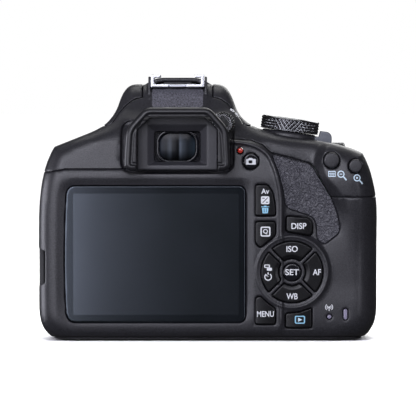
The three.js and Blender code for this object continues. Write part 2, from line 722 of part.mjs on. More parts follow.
const knobProfile = [
  [0, 0], [3.4, 0], [KNOB.r, 0.5], [KNOB.r, 3.6], [1.2, 3.6], [1.2, 6], [0, 6],
];
add("diopter_knob", turned(knobProfile, 20).rotateX(-Math.PI / 2), MAT.button).position.set(
  KNOB.x,
  -26.6,
  KNOB.z,
);

// ---- Top cover and its controls ----
// A frame whose Z axis is the dial axis, leaning to the right by the deck's tilt.
function onDeck(body) {
  return body
    .rotate([0, THREE.MathUtils.radToDeg(-DECK.tilt), 0])
    .translate([DECK.x, DECK.y, DECK.z]);
}

const LUG = { x: 60, y: 0, z: 68.9, halfX: 2.4, halfY: 4.8, halfZ: 2.8 };
const lugZone = (grow) => {
  const [y, z] = [LUG.halfY + grow, LUG.halfZ + grow];
  const side = (x0, x1) => box(x0, x1, LUG.y - y, LUG.y + y, LUG.z - z, LUG.z + z);
  return side(-70, LUG.halfX - LUG.x + grow).add(side(LUG.x - LUG.halfX - grow, 70));
};

function topCover() {
  const housingRib = (side) =>
    box(LENS.x + side * 11.3 - 0.5, LENS.x + side * 11.3 + 0.5, -11.5, 9, 90, 100.7);
  let body = outer
    .subtract(inner)
    .add(pocketFloor())
    .add(flashNose(0).intersect(box(-50, 30, 8, 20.7, 80, HINGE.z)))
    .intersect(topZone)
    .subtract(box(LENS.x - CHANNEL - 1, LENS.x + CHANNEL + 1, -30, 60, SHOE.floor, 110))
    .add(housingRib(-1))
    .add(housingRib(1))
    .subtract(flashZone(0));
  body = body
    .subtract(box(EYE.x - 13.3, EYE.x + 13.3, -40, -18, 66.2, 81.8))
    .subtract(cylinderY(KNOB.x, KNOB.z, KNOB.r + GAP, -40, -22.7, 20))
    .subtract(cylinderY(KNOB.x, KNOB.z, 1.5, -40, -10, 12))
    .subtract(cylinderY(RECORDING_LAMP.x, RECORDING_LAMP.z, RECORDING_LAMP.r + GAP, -30, -20, 12))
    .subtract(onDeck(cylinderZ(3.3, -8, 20, 16)))
    .subtract(wheelWell())
    .subtract(deckHoles())
    .subtract(lugZone(GAP));
  for (const name of ["zoom_out_button", "zoom_in_button", "live_view_button"]) {
    body = body.subtract(buttonHole(REAR_BUTTONS[name]));
  }
  return body;
}

// Clear space around the main dial, cut from the deck.
function wheelWell() {
  const room = WHEEL.half + 2 * GAP;
  const ring = new THREE.CylinderGeometry(WHEEL.r + 0.6, WHEEL.r + 0.6, 2 * room, 24);
  return solid(ring.rotateZ(Math.PI / 2).translate(WHEEL.x, WHEEL.y, WHEEL.z));
}

// A wall under the shoe and flash pocket that closes the cover's inside below them.
const pocketFloor = () => box(LENS.x - 21, LENS.x + 21, -14, 12.5, 85.2, 88.5);

add("top_cover", topCover(), MAT.shell);

// Mode dial and power switch turn about the same leaning axis.
const deckGroup = new THREE.Group();
deckGroup.position.set(DECK.x, DECK.y, DECK.z);
deckGroup.rotation.y = -DECK.tilt;
camera.add(deckGroup);

function modeDial() {
  const teeth = 36;
  const rim = new THREE.Shape();
  for (let i = 0; i < 2 * teeth; i++) {
    const a = (i * Math.PI) / teeth;
    const r = i % 2 ? 10.95 : 10.55;
    rim[i ? "lineTo" : "moveTo"](r * Math.cos(a), r * Math.sin(a));
  }
  const knurl = prismZ(rim, 1.7, 6.6);
  const cap = solid(turned([[0, 6.5], [10.6, 6.5], [10.1, 7.3], [0, 7.5]], 36));
  const stem = cylinderZ(3, -5, 1.8, 16);
  return union(knurl, cap, stem);
}
add("mode_dial", modeDial(), MAT.button, deckGroup);

function powerSwitch() {
  const ring = solid(
    turned([[3.4, 0.7], [10.2, 0.7], [9.9, 1.4], [3.4, 1.4], [3.4, 0.7]], 32),
  );
  const tab = prismY(roundRect(11.3, 16.4, 0.7, 3.3, 1.1), -3.4, 3.4, { bevel: 0.5, steps: 1, curve: 3 });
  return ring.add(box(8, 12.5, -3, 3, 0.7, 1.4)).add(tab);
}
add("power_switch", powerSwitch(), MAT.button, deckGroup);

function mainDial() {
  const teeth = 28;
  const rim = new THREE.Shape();
  for (let i = 0; i < 2 * teeth; i++) {
    const a = (i * Math.PI) / teeth;
    const r = i % 2 ? WHEEL.r : WHEEL.r - 0.6;
    rim[i ? "lineTo" : "moveTo"](r * Math.cos(a), r * Math.sin(a));
  }
  return prismX(rim, -WHEEL.half, WHEEL.half);
}
add("main_dial", mainDial(), MAT.button).position.set(WHEEL.x, WHEEL.y, WHEEL.z);

function addGripButton(name, profile, { x, y }) {
  const mesh = add(name, turned(profile, 20), MAT.button);
  mesh.position.set(x, y, gripDeck(y));
  mesh.rotation.x = -GRIP.slope;
}
addGripButton(
  "shutter_button",
  [[0, -4.6], [5.8, -4.6], [5.8, -3.4], [5, -3.4], [5, 0.9], [4.2, 1.6], [0, 1.3]],
  SHUTTER_BUTTON,
);
addGripButton(
  "flash_button",
  [[0, -4.4], [3.1, -4.4], [3.1, -3.4], [2.4, -3.4], [2.4, 0.5], [2, 0.8], [0, 0.8]],
  FLASH_BUTTON,
);

// ---- Accessory shoe ----
function accessoryShoe() {
  const { half, high } = SHOE;
  const profile = polygon([
    [-half, 0], [half, 0], [half, high], [6.3, high], [6.3, 3.5], [9.35, 3.5], [9.35, 1.1],
    [-9.35, 1.1], [-9.35, 3.5], [-6.3, 3.5], [-6.3, high], [-half, high],
  ]);
  return prismY(profile, -12.8, 6).subtract(box(-3.6, 3.6, -20, -8.8, -1, 5));
}
add("accessory_shoe", accessoryShoe(), MAT.steel).position.set(LENS.x, 0, SHOE.base);
add("shoe_contact_plate", box(-5.2, 5.2, -8.2, 4, 1.4, 1.9), MAT.dark).position.set(
  LENS.x,
  0,
  SHOE.base,
);

// ---- Flash head: U-shaped, two arms beside the shoe and a nose over the lens ----
function flashHead() {
  const above = flashZone(-GAP).add(box(-50, 30, 21, 60, 80, 110));
  const shape = flashForm(0).intersect(above);
  const hollow = flashForm(1.8)
    .intersect(box(-50, 30, 18.5, 60, 70, 110))
    .intersect(above);
  const windowPort = box(LENS.x - 13.3, LENS.x + 13.3, 21, 33.2, 80, 86);
  return shape
    .subtract(hollow)
    .subtract(windowPort)
    .subtract(box(LENS.x - CHANNEL, LENS.x + CHANNEL, -30, 16, 80, 110));
}
add("flash_head", flashHead(), MAT.shell);
add("flash_window", box(LENS.x - 13, LENS.x + 13, 21.4, 32.8, 83, 84.6), MAT.glass);

// ---- Terminal cover, terminals and strap lugs ----
const terminalSlab = box(
  -70, TERMINAL.x - GAP, TERMINAL.y0, TERMINAL.y1, TERMINAL.z0, TERMINAL.z1,
);
add("terminal_cover", outer.intersect(terminalSlab), MAT.rubber);

function terminalBlock() {
  const block = box(-61.4, -56.2, -12, 5, 17, 48);
  const port = (z, half, high) => box(-70, -58, -8, 1, z - half, z + high);
  return block.subtract(port(22, 2, 3)).subtract(port(31, 2.5, 2.5)).subtract(port(41, 2.2, 2.2));
}
add("terminal_block", terminalBlock(), MAT.dark);

function strapLug() {
  const { halfX, halfY, halfZ } = LUG;
  const slot = box(-1.1, 1.1, -3.4, 3.4, -5, 5);
  return box(-halfX, halfX, -halfY, halfY, -halfZ, halfZ).subtract(slot);
}
add("strap_lug_left", strapLug(), MAT.steel).position.set(-LUG.x, LUG.y, LUG.z);
add("strap_lug_right", strapLug(), MAT.steel).position.set(LUG.x, LUG.y, LUG.z);

export default camera;
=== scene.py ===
import math
from functools import reduce

import bpy
import numpy as np
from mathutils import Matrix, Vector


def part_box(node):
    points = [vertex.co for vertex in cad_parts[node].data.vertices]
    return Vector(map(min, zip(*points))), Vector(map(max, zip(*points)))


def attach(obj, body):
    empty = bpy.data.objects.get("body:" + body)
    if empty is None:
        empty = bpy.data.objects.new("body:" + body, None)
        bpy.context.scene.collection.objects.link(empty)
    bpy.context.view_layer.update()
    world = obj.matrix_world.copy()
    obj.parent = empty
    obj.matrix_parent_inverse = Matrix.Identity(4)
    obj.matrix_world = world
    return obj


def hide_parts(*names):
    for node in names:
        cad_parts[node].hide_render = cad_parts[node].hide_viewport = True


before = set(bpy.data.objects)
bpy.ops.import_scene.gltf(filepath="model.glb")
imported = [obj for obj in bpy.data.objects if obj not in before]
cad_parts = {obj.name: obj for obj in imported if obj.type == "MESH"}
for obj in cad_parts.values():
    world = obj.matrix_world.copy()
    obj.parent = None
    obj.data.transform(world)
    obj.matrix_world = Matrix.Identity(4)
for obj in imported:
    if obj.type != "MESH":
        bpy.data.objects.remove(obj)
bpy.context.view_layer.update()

import openvdb as vdb
from mathutils import Matrix, Vector

# Lengths below are in millimetres unless a name says metres. +X is the hand grip's side, +Y runs
# along the optical axis to the front, +Z is up, and the back of the camera faces -Y.
MM = 0.001
STEP = 0.4  # voxel of the large casings
FINE = 0.15  # voxel of the small controls


def middle(node):
    low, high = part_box(node)
    return [(a + b) / 2 / MM for a, b in zip(low, high)]


LENS_X, _, LENS_Z = middle("lens_mount_ring")
EYE_X, _, _ = middle("eyecup")
PAD_X, _, PAD_Z = middle("set_button")

BACK = -24.3  # plane of the screen's surround
HAND = -23.0  # plane of the back beside the thumb rest
FRONT = 15.0
FLANGE = 32.3
SEAM_Y = -8.0
SEAM_Z = 65.6
BASE_Z = 1.5
GAP = 0.08  # half of the visible joint between two covers
WALL = 2.0
HINGE_Y = -17.0
CHANNEL = 13.4  # half width of the shoe housing between the flash arms
GRIP_SLOPE = math.radians(21.7)
DECK_TOP = 76.5
DECK_BREAK = 6.0  # Y where the deck starts to fall away to the front
DIAL = (30.9, -5, 78.2)  # seat of the mode dial
DIAL_LEAN = math.radians(7.7)
DIAL_TOP = 6.55  # height of the mode dial's top above its seat
KNOB_X, KNOB_Z = 5.7, 82.8  # dioptre knob
RELEASE_X, RELEASE_Z = -49.5, 40  # lens release button
SCREW_CIRCLE = 29.8  # radius of the mount ring's screws and lock pin
PIN_X = LENS_X - SCREW_CIRCLE
SHUTTER = (50, 28)  # X and Y on the grip's deck
FLASH_KEY = (41, 20)
RECORDING_LAMP = (12.2, 72.5)
WIRELESS_LAMP = (46.1, 9.3)
ACCESS_LAMP = (52.2, 10.3)
BUTTON_GAP = 0.22


# ---------------------------------------------------------------- outlines in the XZ plane
def path(start, *pieces, steps=8):
    """Points along lines (x, z) and cubic curves (x1, z1, x2, z2, x3, z3)."""
    points = [start]
    for piece in pieces:
        if len(piece) == 2:
            points.append(piece)
            continue
        a, b, c, d = [np.array(p, float) for p in (points[-1], piece[0:2], piece[2:4], piece[4:6])]
        for t in np.linspace(0, 1, steps + 1)[1:]:
            s = 1 - t
            points.append(tuple(a * s**3 + b * 3 * s * s * t + c * 3 * s * t * t + d * t**3))
    return points


def soft_corners(points, radius, steps=4):
    """The same closed outline with each corner replaced by a short curve."""
    out = []
    count = len(points)
    for i, corner in enumerate(points):
        corner = np.array(corner, float)
        before = np.array(points[i - 1], float) - corner
        after = np.array(points[(i + 1) % count], float) - corner
        reach = min(radius, np.hypot(*before) / 2, np.hypot(*after) / 2)
        a = corner + before / np.hypot(*before) * reach
        b = corner + after / np.hypot(*after) * reach
        for t in np.linspace(0, 1, steps + 1):
            out.append(tuple(a * (1 - t) ** 2 + corner * 2 * t * (1 - t) + b * t * t))
    return out


def arc(x, z, radius, start, end, steps=24):
    angles = np.linspace(start, end, steps + 1)
    return [(x + radius * math.cos(a), z + radius * math.sin(a)) for a in angles]


def circle(x, z, radius, steps=48):
    return arc(x, z, radius, 0, 2 * math.pi, steps)[:-1]


def rectangle(x0, x1, z0, z1, radius, steps=5):
    return soft_corners([(x0, z0), (x1, z0), (x1, z1), (x0, z1)], radius * 1.6, steps)


def symmetric(half):
    """A closed outline from its right half, mirrored in the upright axis."""
    return half + [(-a, b) for a, b in reversed(half)]


def moved(points, x, z):
    return [(a + x, b + z) for a, b in points]


SILHOUETTE = path(
    (-54, 0),
    (54, 0),
    (60, 0, 64.2, 4, 64.4, 12),
    (64.5, 46),
    (64.5, 58, 62, 66, 58.9, 71.4),
    (57, 72.6, 50, 74.8, 42, 76.2),
    (36, 76.9, 29, 77.7, 23, 79.6),
    (17, 81, 12.6, 84, 10.4, 89),
    (8.8, 94.3, 7.4, 97.7, 3.2, 97.7),
    (-27.2, 97.7),
    (-31.4, 97.7, -33, 94, -34.4, 89.3),
    (-36.6, 83.8, -39.8, 81.2, -46, 78.8),
    (-58.6, 73.8),
    (-62.8, 67, -64.6, 57, -64.5, 42),
    (-64.4, 12),
    (-64.2, 4, -60, 0, -54, 0),
)
REAR_SEAM = [
    (8.6, 76.9), (16.5, 76.3), (20.8, 74.6), (24.2, 71.5), (31, 69.9), (39, 67.5), (41, 65.4),
    (43.5, 60), (46.5, 54.9),
]
REAR_OUTLINE = [
    (-70, BASE_Z), (70, BASE_Z), (70, 54.9), *reversed(REAR_SEAM), (8.6, SEAM_Z), (-53, SEAM_Z),
    (-60, 64.3), (-70, 64.2),
]
# The raised plateau round the screen; a ridge runs along its right-hand edge.
PLATEAU = path(
    (-70, 75.8),
    (9.7, 75.8),
    (16, 75.6, 20.5, 74, 23.2, 70.4),
    (25.6, 66, 27.4, 60, 27.8, 53),
    (27.8, 8),
    (27.8, 5, 26.4, 3.3, 23.6, 3.3),
    (-70, 3.3),
)
SCREEN = path(
    (-50.2, 7.2),
    (11.2, 7.2),
    (13.4, 7.2, 14.2, 8.2, 14.2, 10.2),
    (14.2, 56.1),
    (14.2, 58.2, 13.2, 59.1, 11.2, 59.1),
    (-50, 59.1),
    (-52.4, 59.1, -53.6, 57.8, -53.8, 55.4),
    (-54.6, 43, -54.6, 22, -53.9, 11.2),
    (-53.6, 8.6, -52.4, 7.2, -50.2, 7.2),
    steps=5,
)
ACTIVE = (-51.2, 11.7, 10.1, 56.2)
THUMB_REST = soft_corners(
    [
        (24.3, 71), (39, 67.1), (43.3, 60), (47, 54), (49.3, 47.6), (50, 42.6), (49.2, 40.6),
        (44, 36.8), (41.6, 38.8), (41.2, 45), (39.6, 47.5), (31, 50.4), (29.5, 51.9), (28.6, 58.2),
        (26.8, 64.6),
    ],
    1.5,
)
HOOK = path(
    (52, 80),
    (44, 78, 41.8, 73.5, 41.7, 69),
    (41.6, 64.5, 42.2, 62.4, 44.4, 59.6),
    (46.6, 57, 51.2, 54, 51.6, 46),
    (51.6, 28),
    (70, 28),
    (70, 80),
)
EYE_RECESS = rectangle(EYE_X - 21.4, EYE_X + 21.4, 63.9, 84, 3)
EYECUP = path(
    (-17, 65),
    (17, 65),
    (18.8, 65, 20, 66.2, 20, 68),
    (19.4, 78),
    (19.3, 80, 18.4, 81.9, 17, 83.5),
    (13.8, 87),
    (12.8, 88.2, 11.6, 88.8, 10, 88.9),
    (-10, 88.9),
    (-11.6, 88.8, -12.8, 88.2, -13.8, 87),
    (-17, 83.5),
    (-18.4, 81.9, -19.3, 80, -19.4, 78),
    (-20, 68),
    (-20, 66.2, -18.8, 65, -17, 65),
    steps=5,
)
EYE_OPENING = soft_corners(symmetric([(15.6, 60), (15.6, 80.9), (12.2, 85.8)]), 1)


# ---------------------------------------------------------------- distance fields
def outline_distance(points, x, z):
    """Signed distance from a closed outline, negative inside."""
    nearest = np.full(np.broadcast(x, z).shape, 1e9, np.float32)
    inside = np.zeros(nearest.shape, bool)
    for (x0, z0), (x1, z1) in zip(points, points[1:] + points[:1]):
        run, rise = x1 - x0, z1 - z0
        length = run * run + rise * rise
        if length == 0:
            continue
        t = np.clip(((x - x0) * run + (z - z0) * rise) / length, 0, 1)
        nearest = np.minimum(nearest, (x - x0 - t * run) ** 2 + (z - z0 - t * rise) ** 2)
        if rise != 0:
            inside ^= ((z0 <= z) != (z1 <= z)) & (x < x0 + (z - z0) * run / rise)
    nearest = np.sqrt(nearest)
    return np.where(inside, -nearest, nearest).astype(np.float32)


def smoothstep(low, high, value):
    t = np.clip((value - low) / (high - low), 0, 1)
    return t * t * (3 - 2 * t)


def bump(value, width):
    """A round-topped ridge, 1 in the middle and 0 beyond the width."""
    return np.clip(1 - (value / width) ** 2, 0, 1) ** 2


def rounded(a, b, radius):
    """The space inside both fields, with a round edge between them."""
    corner = np.hypot(np.maximum(a + radius, 0), np.maximum(b + radius, 0))
    return np.minimum(np.maximum(a, b) + radius, 0) + corner - radius


def joined(a, b, blend):
    """The space inside either field, with a hollow fillet between them."""
    h = np.clip(0.5 + 0.5 * (b - a) / blend, 0, 1)
    return b * (1 - h) + a * h - blend * h * (1 - h)


def both(*fields):
    """The space inside every field."""
    return reduce(np.maximum, fields)


def either(*fields):
    """The space inside any field."""
    return reduce(np.minimum, fields)


def without(field, *holes):
    """The space inside a field and outside the holes."""
    return reduce(np.maximum, [-hole for hole in holes], field)


def noise(x, z, cell, seed):
    """Smooth value noise from -1 to 1 over the XZ plane."""
    lattice = np.random.default_rng(seed).uniform(-1, 1, (256, 256))
    u, v = x / cell + 100, z / cell + 100
    i, j = np.floor(u).astype(int), np.floor(v).astype(int)
    a, b = u - i, v - j
    a, b = a * a * (3 - 2 * a), b * b * (3 - 2 * b)
    i, j = i % 255, j % 255
    low = lattice[i, j] * (1 - a) + lattice[i + 1, j] * a
    high = lattice[i, j + 1] * (1 - a) + lattice[i + 1, j + 1] * a
    return low * (1 - b) + high * b


# ---------------------------------------------------------------- outer form of the body
def rear_relief(x, z):
    """Y of the rear surface over the XZ plane."""
    ridge = outline_distance(PLATEAU, x, z)
    pad = np.hypot(x - PAD_X, z - PAD_Z)
    beside = np.maximum(smoothstep(-12, 4, x), smoothstep(78, 86, z))
    step = smoothstep(-0.4, 2.6, ridge) * (0.5 + 0.5 * smoothstep(12, 24, z)) * beside
    y = BACK + (HAND - BACK) * step
    valley = np.exp(-(((x - 40) / 9) ** 2)) * smoothstep(24, 48, z) * smoothstep(84, 70, z)
    y = y + 1.3 * valley
    hook = outline_distance(HOOK, x, z)
    y = y - 3.3 * smoothstep(1.2, -2.6, hook) * smoothstep(31, 62, z)
    y = y - 0.8 * bump(hook - 0.2, 2) * smoothstep(36, 56, z) * smoothstep(73, 69, z)
    y = y + (BACK + 0.15 - y) * smoothstep(15.6, 13.6, pad)
    y = y - 0.75 * bump(ridge, 1.3) * smoothstep(3.4, 9, z) * beside
    y = y - 0.45 * bump(pad - 13.5, 0.9)
    y = y + 0.012 * np.clip(10 - z, 0, 10) ** 2
    screen = outline_distance(SCREEN, x, z)
    y = y + (0.15 + 0.6 * smoothstep(6, 16, z)) * smoothstep(3.4, 0.2, screen)
    y = y + 0.13 * np.clip(z - 62, 0, 30)
    slope = np.clip((z - 76) / 21, 0, 1.2)
    y = y + 8.6 * slope**1.3
    housing = np.abs(x - LENS_X)
    y = y + smoothstep(9.9, 13.3, housing) * smoothstep(84, 89, z)
    return y


def rear_seats(x, z):
    """Depth of the seats for the screen, the thumb rest and the eyecup."""
    depth = 1.35 * smoothstep(0.3, 0.1, outline_distance(SCREEN, x, z))
    depth = depth + 0.6 * smoothstep(0.35, 0.1, outline_distance(THUMB_REST, x, z))
    depth = depth + 1.7 * smoothstep(0.2, -0.3, outline_distance(EYE_RECESS, x, z))
    return depth


GRIP_PLAN = path(
    (35.6, -5),
    (35, 10),
    (34.4, 22, 35, 30, 38.6, 34.6),
    (42, 38.6, 47, 38.8, 51, 38.6),
    (58, 37.6, 62, 31, 63.6, 22),
    (64.4, 14, 64.5, 6, 64.5, -5),
)
NOSE = soft_corners(
    symmetric([(19, 82.4), (22, 88), (18, 94.6), (13.4, 97.2), (8.5, 100.2)]), 4
)


def nose_field(x, y, z):
    """The nose of the flash head over the lens."""
    outline = outline_distance(NOSE, x - LENS_X, z)
    fore = np.maximum(y - 36.1, (y - 36.1) * 0.72 + (z - 95.5) * 0.69)
    aft = (6 - y) * 0.5 + (z - 97.7) * 0.86
    return rounded(rounded(outline, fore, 6), aft, 2)


def body_field(x, y, z):
    silhouette = outline_distance(SILHOUETTE, x, z)
    edge = 5 + 2 * smoothstep(-50, -60, x) + 5 * smoothstep(46, 62, x)
    block = rounded(silhouette, rear_relief(x, z) + rear_seats(x, z) - y, edge)
    plan = joined(y - FRONT + 0 * x, outline_distance(GRIP_PLAN, x, y), 4)
    block = rounded(block, plan, 4 + 3 * smoothstep(16, 24, y))
    deck = (z - DECK_TOP + (y - DECK_BREAK) * math.tan(GRIP_SLOPE)) * math.cos(GRIP_SLOPE)
    deck = deck - 20 * smoothstep(30, 22, x)
    form = rounded(block, deck, 2.5)
    radius = np.hypot(x - LENS_X, z - LENS_Z)
    boss = rounded(radius - 36.8, np.maximum(y - FLANGE + 2.3, -y), 1.6)
    form = joined(form, boss, 3)
    release = np.hypot(x - RELEASE_X, z - RELEASE_Z)
    form = joined(form, rounded(release - 8.4, np.maximum(y - 24, -y), 2), 3)
    return joined(form, nose_field(x, y, z), 2)


def flash_zone(x, y, z):
    """Where the form belongs to the flash head: two arms and the nose."""
    side = np.abs(x - LENS_X)
    seam = 92.5 - 0.075 * np.clip(side - CHANNEL, 0, 12) ** 2
    arms = both(CHANNEL - side, seam - z, HINGE_Y + 0.2 - y)
    return either(arms, both(16.2 - y, 89.6 - z), both(20.9 - y, 81 - z))


def rear_zone(x, y, z):
    return both(outline_distance(REAR_OUTLINE, x, z), y - SEAM_Y)


def front_zone(x, y, z):
    lower = both(SEAM_Y - y, z - SEAM_Z, BASE_Z - z)
    return either(lower, both(np.hypot(x - LENS_X, z - LENS_Z) - 37.3, 13 - y))


def grip_skin_zone(x, y, z):
    return both(outline_distance(rectangle(5, 72, 5.2, 59.8, 4), y, z), 36.6 - x)


def terminal_zone(x, y, z):
    return both(outline_distance(rectangle(-13.8, 6.8, 14.7, 50.8, 3), y, z), x + 62.2)


def deck_height(y):
    return DECK_TOP - (y - DECK_BREAK) * math.tan(GRIP_SLOPE)


def deck_radius(x, y, z, place):
    """Distance from the axis of a button on the grip's sloping deck."""
    run, rise = y - place[1], z - deck_height(place[1])
    return np.hypot(x - place[0], run * math.cos(GRIP_SLOPE) - rise * math.sin(GRIP_SLOPE))


# ---------------------------------------------------------------- meshes
def new_object(name, data):
    made = bpy.data.objects.new(name, data)
    bpy.context.scene.collection.objects.link(made)
    return made


def add_object(name, mesh, look, body, *nodes):
    """A piece on a body, in place of CAD nodes or as an addition."""
    piece = new_object(name, mesh)
    mesh.materials.append(LOOKS[look])
    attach(piece, body)
    if nodes:
        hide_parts(*nodes)
    return piece


def mesh_from_arrays(name, points, triangles, quads):
    points = np.asarray(points, np.float32)
    triangles, quads = np.asarray(triangles), np.asarray(quads)
    mesh = bpy.data.meshes.new(name)
    mesh.vertices.add(len(points))
    mesh.vertices.foreach_set("co", points.ravel())
    loops = np.concatenate([triangles.ravel(), quads.ravel()]).astype(np.int32)
    sizes = np.concatenate([np.full(len(triangles), 3), np.full(len(quads), 4)])
    starts = np.concatenate([[0], np.cumsum(sizes)[:-1]]).astype(np.int32)
    mesh.loops.add(len(loops))
    mesh.loops.foreach_set("vertex_index", loops)
    mesh.polygons.add(len(sizes))
    mesh.polygons.foreach_set("loop_start", starts)
    mesh.polygons.foreach_set("use_smooth", np.ones(len(sizes), bool))
    mesh.update(calc_edges=True)
    mesh.validate()
    return mesh


def carve(name, field, low, high, step, look, body, *nodes, flatten=0.0):
    """A piece whose surface is where a field, given in millimetres, changes sign."""
    counts = [int(math.ceil((b - a) / step)) + 1 for a, b in zip(low, high)]
    x, y, z = (a + step * np.arange(n, dtype=np.float32) for a, n in zip(low, counts))
    values = field(x[:, None, None], y[None, :, None], z[None, None, :])
    values = np.clip(np.broadcast_to(values, counts) / step, -3, 3)
    grid = vdb.FloatGrid(3.0)
    grid.copyFromArray(np.ascontiguousarray(values, np.float32))
    points, triangles, quads = grid.convertToPolygons(0.0, flatten)
    points = (points * step + np.array(low, np.float32)) * MM
    mesh = mesh_from_arrays(name, points, triangles[:, ::-1], quads[:, ::-1])
    add_object(name, mesh, look, body, *nodes)


def turned(name, profile, count, place, look, body, *nodes, swell=None):
    """A lathe piece about its own Z from (radius, height) points; swell(angle, height) moves radii."""
    profile = np.array(profile, float)
    angles = np.arange(count) * 2 * math.pi / count
    radius = np.repeat(profile[:, 0][:, None], count, 1)
    height = np.repeat(profile[:, 1][:, None], count, 1)
    if swell:
        radius = radius + swell(angles[None, :], height) * (radius > 0)
    points = np.stack([radius * np.cos(angles), radius * np.sin(angles), height], -1)
    rings = len(profile)
    i, j = np.meshgrid(np.arange(rings - 1), np.arange(count), indexing="ij")
    k = (j + 1) % count
    quads = np.stack([i * count + j, i * count + k, (i + 1) * count + k, (i + 1) * count + j], -1)
    mesh = mesh_from_arrays(name, points.reshape(-1, 3) * MM, np.zeros((0, 3)), quads.reshape(-1, 4))
    mesh.transform(place)
    add_object(name, mesh, look, body, *nodes)


def at(x, y, z, angle=0.0, axis="X"):
    """A placement at a point in millimetres, turned about one axis."""
    return Matrix.Translation((x * MM, y * MM, z * MM)) @ Matrix.Rotation(angle, 4, axis)


def to_front(x, y, z):
    """The placement whose Z axis points to the front."""
    return at(x, y, z, -math.pi / 2)


def dense(profile, spacing):
    """The same profile with extra points, so that a displacement has room."""
    out = [profile[0]]
    for a, b in zip(profile, profile[1:]):
        count = max(1, int(math.dist(a, b) / spacing))
        out += [tuple(np.array(a) + (np.array(b) - np.array(a)) * t / count) for t in range(1, count + 1)]
    return out


# ---------------------------------------------------------------- materials
LOOKS = {}  # look: material, filled by make_materials
SLOTS = {
    # look: slot of the record, for pieces that stand for no CAD node
    "display": "screen_gloss",
    "steel": "bright_steel",
    "lamp": "clear_lamp",
    **dict.fromkeys(("gloss", "white", "blue", "pale"), "button_plastic"),
}


def shader(name, **sockets):
    material = bpy.data.materials.new(name)
    material.use_nodes = True
    principled = material.node_tree.nodes["Principled BSDF"]
    for socket, value in sockets.items():
        principled.inputs[socket.replace("_", " ")].default_value = value
    return material, material.node_tree, principled


def texture(tree, kind, scale, **settings):
    coordinates = tree.nodes.new("ShaderNodeTexCoord")
    node = tree.nodes.new(kind)
    node.inputs["Scale"].default_value = scale
    for key, value in settings.items():
        if key in node.inputs:
            node.inputs[key].default_value = value
        else:
            setattr(node, key, value)
    tree.links.new(coordinates.outputs["Object"], node.inputs["Vector"])
    return node


def ramp(tree, source, low, high, start=0.35, end=0.65):
    node = tree.nodes.new("ShaderNodeValToRGB")
    node.color_ramp.elements[0].position = start
    node.color_ramp.elements[0].color = low
    node.color_ramp.elements[1].position = end
    node.color_ramp.elements[1].color = high
    tree.links.new(source, node.inputs["Fac"])
    return node


def span(tree, source, low, high):
    node = tree.nodes.new("ShaderNodeMapRange")
    node.inputs["To Min"].default_value = low
    node.inputs["To Max"].default_value = high
    tree.links.new(source, node.inputs["Value"])
    return node


def grey(value, tint=(0.98, 0.97, 1.14)):
    return (value * tint[0], value * tint[1], value * tint[2], 1)


def relief(tree, principled, source, depth, strength=1.0):
    node = tree.nodes.new("ShaderNodeBump")
    node.inputs["Strength"].default_value = strength
    node.inputs["Distance"].default_value = depth * MM
    tree.links.new(source, node.inputs["Height"])
    tree.links.new(node.outputs["Normal"], principled.inputs["Normal"])


def paint(tree, principled, source, colours, roughness):
    """Colour and roughness that both vary with one texture."""
    colour = ramp(tree, source, *colours)
    gloss = span(tree, source, *roughness)
    tree.links.new(colour.outputs["Color"], principled.inputs["Base Color"])
    tree.links.new(gloss.outputs["Result"], principled.inputs["Roughness"])


def moulded(name, value, roughness, grain=0.35, depth=0.02, sparkle=0.35, shine=0.5):
    """Spark-eroded plastic: a fine pebble grain with slightly varied colour and gloss."""
    material, tree, principled = shader(name, Roughness=roughness, Specular_IOR_Level=shine)
    pebble = texture(tree, "ShaderNodeTexVoronoi", 1 / (grain * MM), feature="SMOOTH_F1", Smoothness=0.6)
    speckle = texture(tree, "ShaderNodeTexNoise", 0.8 / (grain * MM), Detail=3.0)
    colours = grey(value * (1 - sparkle)), grey(value * (1 + sparkle))
    paint(tree, principled, speckle.outputs["Fac"], colours, (roughness + 0.08, roughness - 0.08))
    relief(tree, principled, pebble.outputs["Distance"], depth)
    return material


def grained_rubber(name, value, wrinkle, depth):
    """Soft rubber with leather wrinkles."""
    material, tree, principled = shader(name, Roughness=0.55)
    cells = texture(tree, "ShaderNodeTexVoronoi", 1 / (wrinkle * MM), feature="DISTANCE_TO_EDGE")
    folds = texture(tree, "ShaderNodeTexNoise", 0.7 / (wrinkle * MM), Detail=4.0, Distortion=1.5)
    mix = tree.nodes.new("ShaderNodeMath")
    mix.operation = "MULTIPLY"
    tree.links.new(cells.outputs["Distance"], mix.inputs[0])
    tree.links.new(folds.outputs["Fac"], mix.inputs[1])
    paint(tree, principled, folds.outputs["Fac"], (grey(value * 0.6), grey(value * 1.4)), (0.7, 0.45))
    relief(tree, principled, mix.outputs["Value"], depth)
    return material


def metal(name, colour, roughness, brushed=0.15):
    material, tree, principled = shader(name, Base_Color=(*colour, 1), Metallic=1.0)
    scratches = texture(tree, "ShaderNodeTexNoise", 2500, Detail=4.0)
    gloss = span(tree, scratches.outputs["Fac"], roughness - brushed / 2, roughness + brushed)
    tree.links.new(gloss.outputs["Result"], principled.inputs["Roughness"])
    relief(tree, principled, scratches.outputs["Fac"], 0.002)
    return material


def lacquer(name, colour, roughness=0.3, coat=0.0, wear=0.1, metallic=0.0):
    """A smooth painted or polished surface with faint unevenness."""
    material, tree, principled = shader(
        name, Roughness=roughness, Coat_Weight=coat, Coat_Roughness=0.04, Metallic=metallic
    )
    cloud = texture(tree, "ShaderNodeTexNoise", 900, Detail=2.0)
    colours = [(*(c * (1 + sign * wear) for c in colour), 1) for sign in (-1, 1)]
    paint(tree, principled, cloud.outputs["Fac"], colours, (roughness - 0.04, roughness + 0.04))
    return material


